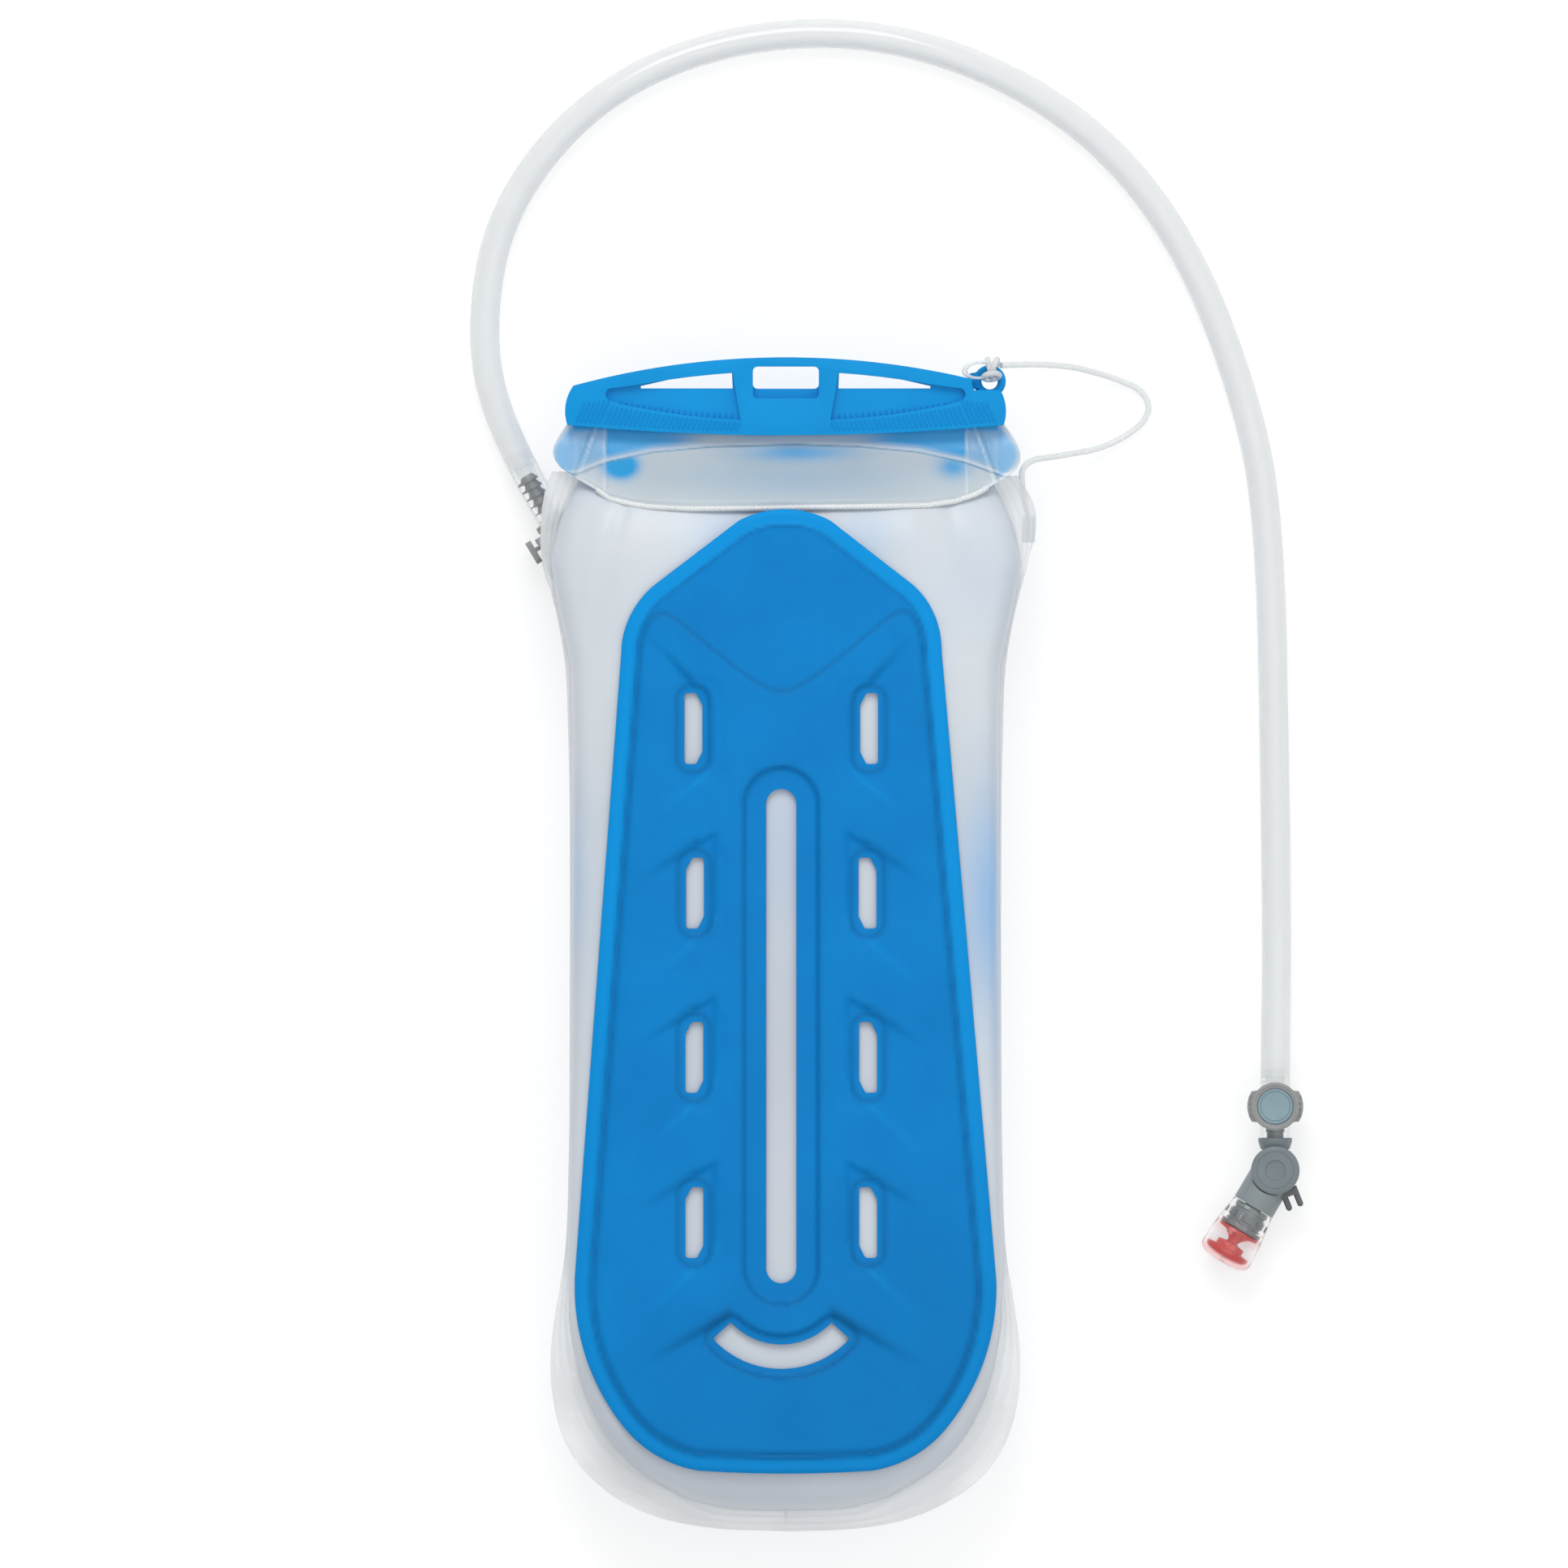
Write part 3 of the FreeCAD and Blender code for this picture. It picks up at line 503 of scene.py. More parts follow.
def mottled(tree, shader, surface, dark, light):
    colour = ramp(tree, surface["Mottle"], [(0.3, dark), (0.7, light)])
    tree.links.new(colour, shader.inputs["Base Color"])


def rough(tree, shader, factor, low, high):
    spread = mathNode(tree, "MULTIPLY", factor, high - low)
    tree.links.new(mathNode(tree, "ADD", spread, low), shader.inputs["Roughness"])


def grained(tree, where, grainSize, mottleSize):
    node = tree.nodes.new("ShaderNodeGroup")
    node.node_tree = mouldGrain
    node.inputs["Grain Size"].default_value = grainSize
    node.inputs["Mottle Size"].default_value = mottleSize
    tree.links.new(where, node.inputs["Vector"])
    return node.outputs


def scuffed(tree, where, amount):
    node = tree.nodes.new("ShaderNodeGroup")
    node.node_tree = fineScuffs
    node.inputs["Amount"].default_value = amount
    tree.links.new(where, node.inputs["Vector"])
    return node.outputs["Mask"]


def mouldedPlastic(name, dark, light, low, high, grainSize, strength, scuffs, **settings):
    # plain moulded part: mottled colour, grain and scuffs
    material, tree, shader, where = plainMaterial(name, settings)
    surface = grained(tree, where, grainSize, 45.0)
    colour = ramp(tree, surface["Mottle"], [(0.3, dark), (0.7, light)])
    colour = mixColour(tree, mathNode(tree, "MULTIPLY", surface["Speckle"], 0.12), colour,
                       tuple(c * 0.55 for c in dark))
    mask = scuffed(tree, where, scuffs)
    colour = mixColour(tree, mathNode(tree, "MULTIPLY", mask, 0.35), colour,
                       tuple(min(1.0, c * 1.25 + 0.08) for c in light))
    tree.links.new(colour, shader.inputs["Base Color"])
    rough(tree, shader, mathNode(tree, "ADD", surface["Speckle"], mask), low, high)
    bump(tree, shader, surface["Height"], strength, 0.06)
    return material


# camera, light and floor

viewSettings = {
    "centre": (-0.5, 52.0),     # mm
    "width": 510.0,             # mm across the view
    "distance": 24.0,           # m
    "sensor": 36.0,
    "floorHalf": 4.0,           # m
    "floorColours": ((0.36, 0.36, 0.36), (0.38, 0.38, 0.38)),
    "tableGlow": 0.66,
    "roomColour": (0.97, 0.985, 1.0, 1.0),
    "roomStrength": 0.66,
    # place in m, power in W and size in m
    "lights": {"keyLight": ((-0.2, 1.7, 1.9), 23, 1.2), "fillLight": ((1.4, 0.3, 2.2), 7, 1.8),
               "topLight": ((0.0, -0.4, 2.6), 8, 2.0)},
}


def makeCamera(settings):
    lens = bpy.data.cameras.new("camera")
    lens.sensor_width = settings["sensor"]
    lens.lens = settings["sensor"] * settings["distance"] / (settings["width"] * mm)
    camera = bpy.data.objects.new("camera", lens)
    camera.location = (settings["centre"][0] * mm, settings["centre"][1] * mm, settings["distance"])
    bpy.context.scene.collection.objects.link(camera)
    bpy.context.scene.camera = camera


def softLight(name, place, power, size):
    light = bpy.data.lights.new(name, "AREA")
    light.energy = power
    light.size = size
    lamp = bpy.data.objects.new(name, light)
    lamp.location = place
    lamp.rotation_mode = "QUATERNION"
    lamp.rotation_quaternion = (-Vector(place)).to_track_quat("-Z", "Y")
    bpy.context.scene.collection.objects.link(lamp)


def makeStudio(settings):
    world = bpy.data.worlds.new("softRoom")
    world.use_nodes = True
    background = world.node_tree.nodes["Background"]
    background.inputs["Color"].default_value = settings["roomColour"]
    background.inputs["Strength"].default_value = settings["roomStrength"]
    bpy.context.scene.world = world
    bpy.context.scene.view_settings.view_transform = "Standard"
    for name, light in settings["lights"].items():
        softLight(name, *light)
    bpy.ops.mesh.primitive_grid_add(x_subdivisions=8, y_subdivisions=8, size=2 * settings["floorHalf"],
                                    location=(0, 0, -0.2 * mm))
    floor = named("floor")
    paper, tree, shader, where = plainMaterial("palePaper", {
        "Roughness": 0.9, "Specular IOR Level": 0.1, "Emission Color": (1.0, 1.0, 1.0, 1.0),
        "Emission Strength": settings["tableGlow"]})
    fibres = grained(tree, where, 900.0, 6.0)
    mottled(tree, shader, fibres, *settings["floorColours"])
    floor.data.materials.append(paper)


makeCamera(viewSettings)
makeStudio(viewSettings)
print("camera and studio made")


# cords

hoseSettings = {
    "diameter": 9.5,
    "bore": 6.35,
    "length": 667.8,
    "valveHeight": 9.2,
    "restHeight": 4.8,
}
tetherSettings = {"diameter": 2.0, "length": 134.3}


def sweptTube(piece, diameter, sides, caps, shade):
    piece.data.bevel_depth = diameter / 2 * mm
    piece.data.bevel_resolution = sides
    piece.data.use_fill_caps = caps
    piece = curveToMesh(piece)
    tidyMesh(piece)
    smooth(piece, shade)
    return piece


def roundCord(name, route, diameter, sides, caps=True):
    # a smooth round mesh along the route's spline, and the points that it follows
    piece = newCurve(name, "NURBS", [route])
    spline = piece.data.splines[0]
    spline.order_u = 3
    spline.use_endpoint_u = True
    mesh = bpy.data.meshes.new_from_object(piece)
    path = [vertex.co.copy() for vertex in mesh.vertices]
    bpy.data.meshes.remove(mesh)
    return sweptTube(piece, diameter, sides, caps, 50), path


def makeHose(settings):
    rest = settings["restHeight"]
    high = settings["valveHeight"]
    route = [(-75.9, 138.2, 8.0), (-91.35, 163.92, 8.0), (-99.8, 197.0, rest), (-92.4, 240.7, rest),
             (-58.9, 279.2, rest), (-8.9, 297.2, rest), (45.0, 294.4, rest), (96.5, 269.1, rest),
             (130.6, 228.4, rest), (151.9, 171.3, rest), (157.7, 130.1, rest), (159.2, 50.0, rest),
             (159.8, -5.0, rest), (159.2, -36.0, high), (159.2, -63.0, high)]
    hose, path = roundCord("drinkHose", route, settings["diameter"], sides=8, caps=False)
    addWall(hose, (settings["diameter"] - settings["bore"]) / 2, -1)
    # the wall looks clear where it is stretched over a barb
    co = meshPoints(hose)
    ends = [np.linalg.norm(co - np.array(route[end]), axis=1) for end in (0, -1)]
    paint(hose, "clear", step((25.0 - np.minimum(*ends)) / 9.0))
    smooth(hose, 50)
    return hose, path


def makeTether(settings):
    route = [(79.0, 139.0, 27.6), (76.5, 148.0, 26.8), (77.0, 157.0, 22.5), (90.0, 158.8, 10.0),
             (105.0, 161.5, 1.4), (118.5, 170.5, 1.3), (117.5, 179.5, 1.3), (106.0, 184.5, 2.5),
             (88.0, 189.0, 16.0), (70.0, 188.0, 29.0)]
    return roundCord("sliderTether", route, settings["diameter"], sides=4)


clearTube, tubeTree, tubeShader, tubeWhere = plainMaterial("clearHosePlastic", {
    "Base Color": (0.96, 0.975, 0.98, 1.0), "IOR": 1.32, "Transmission Weight": 0.55, "Coat Weight": 0.25,
    "Coat Roughness": 0.05})
tubeGrain = grained(tubeTree, tubeWhere, 1800.0, 30.0)
clearness = mathNode(tubeTree, "ADD", mathNode(tubeTree, "MULTIPLY", painted(tubeTree, "clear"), 0.55), 0.4)
tubeTree.links.new(clearness, tubeShader.inputs["Transmission Weight"])
rough(tubeTree, tubeShader, tubeGrain["Mottle"], 0.06, 0.16)
bump(tubeTree, tubeShader, tubeGrain["Mottle"], 0.08, 0.2)

clearCord, cordTree, cordShader, cordWhere = plainMaterial("clearCordPlastic", {
    "Base Color": (0.90, 0.92, 0.92, 1.0), "IOR": 1.45, "Transmission Weight": 0.45})
cordGrain = grained(cordTree, cordWhere, 4000.0, 120.0)
rough(cordTree, cordShader, cordGrain["Mottle"], 0.18, 0.34)
bump(cordTree, cordShader, cordGrain["Speckle"], 0.15, 0.05)

drinkHose, hosePath = makeHose(hoseSettings)
finishPiece(drinkHose, "hose", "tube", clearTube, "drink_tube")
sliderTether, tetherPath = makeTether(tetherSettings)
print("hose and tether made")


# back plate

plateSettings = {
    "wall": 3.0,
    "seat": 0.05,               # how far the underside stands off the film
    "topHeight": 57.0,          # top face on the middle line
    "roundness": 423.0,         # radius of the top face across the plate
    "cell": 1.05,               # spacing of the mesh
    "border": 4.9,              # width of the lower border
    "borderDrop": 1.0,
    "badgeDrop": 0.6,
    "ringDrop": 1.35,
    "channelDrop": 1.5,
    "featureX": -1.4,           # the openings' middle line
    "slotHalf": 4.9,
    "slotLow": -110.0,
    "slotHigh": 50.4,
    "ventHalf": 2.9,
    "ventLength": 23.0,
    "vents": [(70.0, 28.5), (16.6, 28.0), (-36.7, 28.2), (-90.3, 28.2)],
    "smileCentre": -107.7,
    "smileInner": 22.2,
    "smileOuter": 30.1,
    "smileAngle": 47.5,
}


def plateOutline():
    top, apexX, apexY = 141.2, 15.0, 137.4
    shoulder = [(42.0, 116.6), (49.3, 107.0), (52.0, 95.0)]
    hip = [(68.4, -108.0), (64.2, -136.0), (51.5, -158.0)]
    corner = [(51.5, -158.0), (42.5, -165.6), (28.0, -170.9)]
    bottom = (0.0, -171.8)
    left = lambda points: [(-x, y) for x, y in reversed(points)]
    loop = arcThrough((-apexX, apexY), (0.0, top), (apexX, apexY), 24)
    loop += arcThrough(*shoulder, 20) + arcThrough(*hip, 44) + arcThrough(*corner, 16)[1:]
    loop += arcThrough(corner[2], bottom, (-corner[2][0], corner[2][1]), 40)[1:-1]
    loop += arcThrough(*left(corner), 16)[:-1]
    loop += arcThrough(*left(hip), 44) + arcThrough(*left(shoulder), 20)
    # pressed on slightly askew, more so along its middle
    lean = [(-110.0, 0.0), (-99.0, -0.25), (-48.0, -0.8), (3.0, -1.2), (55.0, -1.45), (98.0, -1.3),
            (124.0, -0.3)]
    return [(x + float(along(lean, y)), y) for x, y in loop]


def obroundLoop(x, low, high, half, steps=16):
    loop = [(x + half * math.cos(math.pi * i / steps), high - half + half * math.sin(math.pi * i / steps))
            for i in range(steps + 1)]
    return loop + [(2 * x - px, low + high - py) for px, py in loop]


def roundedLoop(corners, radius, steps=5):
    # corners of a polygon, each rounded off by an arc
    loop = []
    count = len(corners)
    for i in range(count):
        here = Vector(corners[i])
        back = (Vector(corners[i - 1]) - here).normalized()
        ahead = (Vector(corners[(i + 1) % count]) - here).normalized()
        half = back.angle(ahead) / 2
        reach = radius / math.tan(half)
        middle = here + (back + ahead).normalized() * radius / math.sin(half)
        first = here + back * reach - middle
        last = here + ahead * reach - middle
        turn = math.atan2(first.x * last.y - first.y * last.x, first.dot(last))
        start = math.atan2(first.y, first.x)
        loop += [(middle.x + radius * math.cos(start + turn * k / steps),
                  middle.y + radius * math.sin(start + turn * k / steps)) for k in range(steps + 1)]
    return loop


def ventLoop(x, y, half, length, upper):
    # chamfered at two corners: the inner ones in the top row, one outer and one inner in the others
    side = math.copysign(1, x)
    low, high, slant = y - length / 2, y + length / 2, 4.0
    if upper:
        corners = [(side * half, high), (side * half, low), (-side * half * 0.3, low),
                   (-side * half, low + slant), (-side * half, high - slant), (-side * half * 0.3, high)]
    else:
        corners = [(-side * half, high), (side * half * 0.3, high), (side * half, high - slant),
                   (side * half, low), (-side * half * 0.3, low), (-side * half, low + slant)]
    return roundedLoop([(x + px, py) for px, py in corners], 1.0, 4)


def smileLoop(settings, steps=20):
    cx, cy = settings["featureX"], settings["smileCentre"]
    angle = math.radians(settings["smileAngle"])
    loop = []
    for radius, sign in ((settings["smileInner"], 1), (settings["smileOuter"], -1)):
        for i in range(steps + 1):
            a = sign * angle * (1 - 2 * i / steps)
            loop.append((cx + radius * math.sin(a), cy - radius * math.cos(a)))
    return loop


def boxDistance(x, y, halfX, halfY, corner):
    # distance outside a rectangle with round corners, below zero inside
    qx = np.abs(x) - halfX + corner
    qy = np.abs(y) - halfY + corner
    return np.hypot(np.maximum(qx, 0), np.maximum(qy, 0)) + np.minimum(np.maximum(qx, qy), 0) - corner


def lineSide(x, y, start, end):
    # distance to the right of the line from start to end
    dx, dy = end[0] - start[0], end[1] - start[1]
    return ((x - start[0]) * dy - (y - start[1]) * dx) / math.hypot(dx, dy)


def channelDepth(x, y, upper, lower, reach):
    # a fan-shaped channel between two lines that run outwards from a vent, fading at its far end
    below = lineSide(x, y, *upper) * (-1)
    above = lineSide(x, y, *lower)
    out = -(x - (upper[0][0] + lower[0][0]) / 2)
    fade = 1 - step(out / reach)
    return step(below / 1.7) * step(above / 2.4) * fade * step((out + 4.5) / 3.0)


def paintedEdgeBand(x, y, line, reach, width):
    # a band along a channel's edge, fading outwards, painted as shade along upper edges and as highlight along
    # lower ones
    out = (line[0][0] - x) + 1.5
    return bell(lineSide(x, y, *line), width) * step(out / 3.0) * (1 - step(out / reach))


def plateRelief(x, y, outline, settings):
    # how far the surface lies below the plate's top, the painted shade in its creases, along its recess walls,
    # along the upper edges of its channels and towards its lower right, and the painted light on its border and
    # along the lower edges of its channels
    edge = distanceTo(np.stack([x, y], 1), outline)
    mid = x - settings["featureX"]
    valley = 82.6 + 0.87 * (np.sqrt(mid * mid + 64.0) - 8.0)
    across = (valley - y) * 0.77
    within = edge - settings["border"] - 1.2
    panel = -np.log(np.exp(-across / 2.6) + np.exp(-within / 2.6)) * 2.6
    level = settings["borderDrop"] * (1 - step((edge - settings["border"] + 0.5) / 1.0))
    inner = settings["badgeDrop"] * (1 - step(panel / 1.3)) * step((edge - settings["border"]) / 1.0)
    drop = level + inner
    # painted shade: dark lines at the border's step and the badge's edge, and darker towards the lower right
    crease = bell(edge - settings["border"], 0.7) * 0.6
    crease += bell(panel - 0.3, 0.7) * 0.6
    crease += 0.30 * step((-60.0 - y + 0.6 * x) / 150.0)
    drop += 0.9 * (1 - np.clip(edge / 1.3, 0, 1)) ** 2
    recess = np.zeros_like(x)
    wallShade = np.zeros_like(x)
    glint = np.zeros_like(x)

    def addRing(distance, depth, slope):
        nonlocal recess, wallShade
        recess = np.maximum(recess, depth * (1 - step(distance / slope + 0.5)))
        # painted shade along each recess wall
        wallShade = np.maximum(wallShade, bell(distance, 0.6 * slope))

    slotMiddle = (settings["slotLow"] + settings["slotHigh"]) / 2
    slotLong = (settings["slotHigh"] - settings["slotLow"]) / 2
    addRing(boxDistance(mid, y - slotMiddle, 12.0, slotLong + 6.9, 11.9), settings["ringDrop"], 1.5)
    radial = np.hypot(mid, y - settings["smileCentre"])
    angle = np.arctan2(mid, settings["smileCentre"] - y)
    middleRadius = (settings["smileInner"] + settings["smileOuter"]) / 2
    halfBand = (settings["smileOuter"] - settings["smileInner"]) / 2
    smileDistance = boxDistance(angle * middleRadius, radial - middleRadius,
                                math.radians(settings["smileAngle"]) * middleRadius + 2.8, halfBand + 2.9, 4.5)
    addRing(smileDistance, settings["ringDrop"], 1.5)
    for row, (vy, vx) in enumerate(settings["vents"]):
        for side in (-1, 1):
            # seen from the left half, so that one set of lines serves both sides
            sx = mid * -side
            ring = boxDistance(sx + vx + 0.1, y - vy, 5.3, 14.1, 4.9)
            addRing(ring, settings["ringDrop"], 1.5)
            ledge = boxDistance(sx + vx - 1.8, y - vy + 0.5, 8.4, 17.0, 6.8)
            recess = np.maximum(recess, 0.35 * (1 - step(ledge / 1.2 + 0.5)))
            if row == 0:
                upper = ((-vx + 1.0, vy + 14.5), (-vx - 10.7, vy + 27.0))
                lower = ((-vx + 5.0, vy - 14.0), (-vx - 15.0, vy - 31.0))
                reach = 21.0
            else:
                upper = ((-vx + 1.5, vy + 17.2), (-vx - 24.9, vy + 0.3))
                lower = ((-vx + 6.2, vy - 8.9), (-vx - 23.0, vy - 37.2))
                reach = 27.0
            depth = channelDepth(sx, y, upper, lower, reach)
            recess = np.maximum(recess, settings["channelDrop"] * depth)
            outside = step((ring - 0.5) / 1.5)
            # painted shade along the channel's upper edge and a painted highlight (glint) along its lower edge
            crease += 0.55 * paintedEdgeBand(sx, y, upper, reach * 0.9, 1.1) * outside
            glint = glint + 0.55 * paintedEdgeBand(sx, y, lower, reach, 0.9) * outside
    for side in (-1, 1):
        sx = mid * -side
        upper = ((-16.0, -119.0), (-51.5, -139.5))
        lower = ((-20.0, -129.0), (-47.0, -150.0))
        depth = channelDepth(sx, y, upper, lower, 32.0) * step((smileDistance + 1.0) / 2.0 + 0.5)
        recess = np.maximum(recess, settings["channelDrop"] * 0.9 * depth * (y < -112))
        # painted shade along the upper edge of the lower channels
        crease += 0.85 * paintedEdgeBand(sx, y, upper, 36.0, 1.7) * (y < -112)
    # painted light: the border lighter, more so towards the top, joined by the painted highlights along the
    # channels' lower edges
    light = (1 - step((edge - settings["border"] + 0.8) / 1.2)) * (0.5 + 0.5 * step((y + 130.0) / 160.0))
    return drop + recess, np.clip(crease + 0.62 * wallShade, 0, 1), np.clip(light + glint, 0, 1)


def plateDome(x, settings):
    radius = settings["roundness"]
    return settings["topHeight"] - radius + np.sqrt(radius ** 2 - x ** 2)


def makePlate(settings):
    outline = plateOutline()
    fx = settings["featureX"]
    loops = [outline, obroundLoop(fx, settings["slotLow"], settings["slotHigh"], settings["slotHalf"]),
             smileLoop(settings)]
    for row, (vy, vx) in enumerate(settings["vents"]):
        for side in (-1, 1):
            loops.append([(px + fx, py) for px, py in
                          ventLoop(side * vx, vy, settings["ventHalf"], settings["ventLength"], row == 0)])
    plate = flatShape("backPlate", loops)
    cell = settings["cell"]
    mesh = bmesh.new()
    mesh.from_mesh(plate.data)
    for axis, low, high in ((1, -174.0, 144.0), (0, -70.0, 70.0)):
        normal = Vector((0, 0, 0))
        normal[axis] = 1
        for i in range(int((high - low) / cell) + 1):
            bmesh.ops.bisect_plane(mesh, geom=mesh.verts[:] + mesh.edges[:] + mesh.faces[:],
                                   plane_co=normal * (low + i * cell) * mm, plane_no=normal, dist=1e-7)
    # the cells' own edges stay and the first fill's diagonals go
    for edge in mesh.edges:
        a, b = (vertex.co / mm for vertex in edge.verts)
        onCell = any(abs(a[k] - b[k]) < 1e-3 and abs((a[k] - low) / cell - round((a[k] - low) / cell)) < 1e-2
                     for k, low in ((1, -174.0), (0, -70.0)))
        edge.seam = onCell or edge.is_boundary
    bmesh.ops.dissolve_limit(mesh, angle_limit=0.01, verts=mesh.verts[:],
                             edges=[edge for edge in mesh.edges if not edge.seam], delimit={"SEAM"})
    mesh.to_mesh(plate.data)
    mesh.free()
    co = meshPoints(plate)
    drop, crease, light = plateRelief(co[:, 0], co[:, 1], outline, settings)
    co[:, 2] = plateDome(co[:, 0], settings) - drop
    movePoints(plate, co)
    # painted shade (crease) and painted light (light) for the plate's material
    paint(plate, "crease", crease)
    paint(plate, "light", light)
    editAll(plate, faceOutward)
    if sum(face.normal.z for face in plate.data.polygons) < 0:
        plate.data.flip_normals()
    editAll(plate, lambda: raiseFaces(0.0))
    # the extruded copy stays selected and becomes the top, while the first faces drop to the underside
    under = np.array([not vertex.select for vertex in plate.data.vertices])
    co = meshPoints(plate)
    co[under, 2] = plateDome(co[under, 0], settings) - settings["wall"] + settings["seat"]
    movePoints(plate, co)
    smooth(plate, 40)
    return plate


plateBlue = (0.0, 0.190, 0.525)
bluePlastic = mouldedPlastic("bluePlatePlastic", plateBlue, (0.0, 0.215, 0.575), 0.46, 0.64,
                             2400.0, 0.10, 0.12, **{"Specular IOR Level": 0.12})
# painted shade in the plate's creases, along its recess walls and channel edges and towards its lower right
overlay(bluePlastic, "crease", tuple(c * 0.62 for c in plateBlue))
# painted light on the plate's border and along its channels' lower edges
overlay(bluePlastic, "light", (0.0, 0.265, 0.66))
backPlate = makePlate(plateSettings)
finishPiece(backPlate, "reservoir", "plate", bluePlastic, "back_plate")
print("back plate made", len(backPlate.data.polygons))


# film bag

bagSettings = {
    "seam": 30.0,
    "crown": 53.6,              # the film under the plate
    "crownRoundness": 420.0,
    "rise": 31.0,
    "drop": 31.5,
    "bottom": -184.0,
    "throat": 150.0,
    "throatHalf": 3.3,
    "squareness": 4.0,
    "around": 132,
    "along": 250,
    "wrinkle": 0.55,
    "flangeWall": 1.2,
    "flangeLines": (0.30, 0.55, 0.80),
    "weldDots": ((-68.6, -139.9), (-69.2, -153.6), (70.0, -135.2), (71.0, -148.4)),
    # painted blue light from the plate scattered in the film: strength, middle and half widths
    "paintedBlueLightSpots": [(0.75, 66.0, 14.0, 9.0, 36.0), (0.3, -68.0, 20.0, 5.0, 26.0), (0.14, 62.0, 118.0, 15.0, 18.0),
                  (0.30, -20.0, 133.0, 12.0, 9.0), (0.30, 26.0, 133.0, 11.0, 9.0), (0.30, 71.0, -30.0, 4.0, 26.0),
                  (0.8, -50.0, 158.0, 12.0, 10.0), (0.8, 54.0, 156.0, 9.0, 8.0), (0.75, -3.0, 160.0, 22.0, 7.0),
                  (0.3, -4.0, 30.0, 9.0, 24.0)],
}
# place along the bag and half of its width there
bagStations = [(-184.0, 9.0), (-183.6, 15.0), (-183.0, 20.0), (-181.0, 30.0), (-179.0, 35.0), (-172.0, 47.0),
               (-165.0, 54.5), (-157.6, 60.0), (-148.0, 64.6), (-139.0, 67.4), (-124.0, 69.9), (-105.0, 70.9),
               (-70.0, 70.2), (-40.0, 69.6), (0.0, 69.5), (35.0, 69.5), (65.0, 69.3), (90.0, 70.0),
               (102.0, 72.3), (112.0, 74.5), (125.0, 76.4), (137.0, 73.5), (145.0, 70.0), (150.0, 67.5),
               (168.0, 67.0)]


def bagHalf(y):
    return along(bagStations, y)


def bagShare(y, settings):
    # how full the bag is along its length
    middle = (settings["bottom"] + settings["throat"]) / 2
    reach = (settings["throat"] - settings["bottom"]) / 2 + np.where(y > middle, 1.0, 0.0)
    u = np.clip(np.abs(y - middle) / reach, 0, 1)
    power = np.where(y > middle, 3.0, 4.0)
    return np.maximum(0, 1 - u ** power) ** (1 / power)


def bagSurface(y, angle, settings):
    # a point on the bag's skin, with angle 0 at its right seam and 90 degrees on top
    half = bagHalf(y)
    share = bagShare(y, settings)
    up = np.maximum(settings["rise"] * share, settings["throatHalf"])
    down = np.maximum(settings["drop"] * share, settings["throatHalf"])
    neck = step((y - 147.0) / 12.0)
    up = up * (1 - neck) + 1.2 * neck
    down = down * (1 - neck) + 1.2 * neck
    c, s = np.cos(angle), np.sin(angle)
    power = 2 / settings["squareness"]
    x = half * np.sign(c) * np.abs(c) ** power
    z = settings["seam"] + np.where(s >= 0, up, down) * np.sign(s) * np.abs(s) ** power
    radius = settings["crownRoundness"]
    lid = settings["crown"] - radius + np.sqrt(radius ** 2 - x * x)
    # rounded where the full film meets the flat of the plate
    over = (z - lid) / 1.6
    z = np.where(z > lid - 4.0, lid - 1.6 * np.log1p(np.exp(np.clip(-over, -30, 30))), z)
    z = np.maximum(z, 0.4)
    pocket = step((y - 100.0) / 16.0) * step((-44.0 - x) / 12.0) * step((161.0 - y) / 10.0)
    z = np.where(s < 0, np.maximum(z, 18.6 * pocket + 0.4), z)
    return x, z


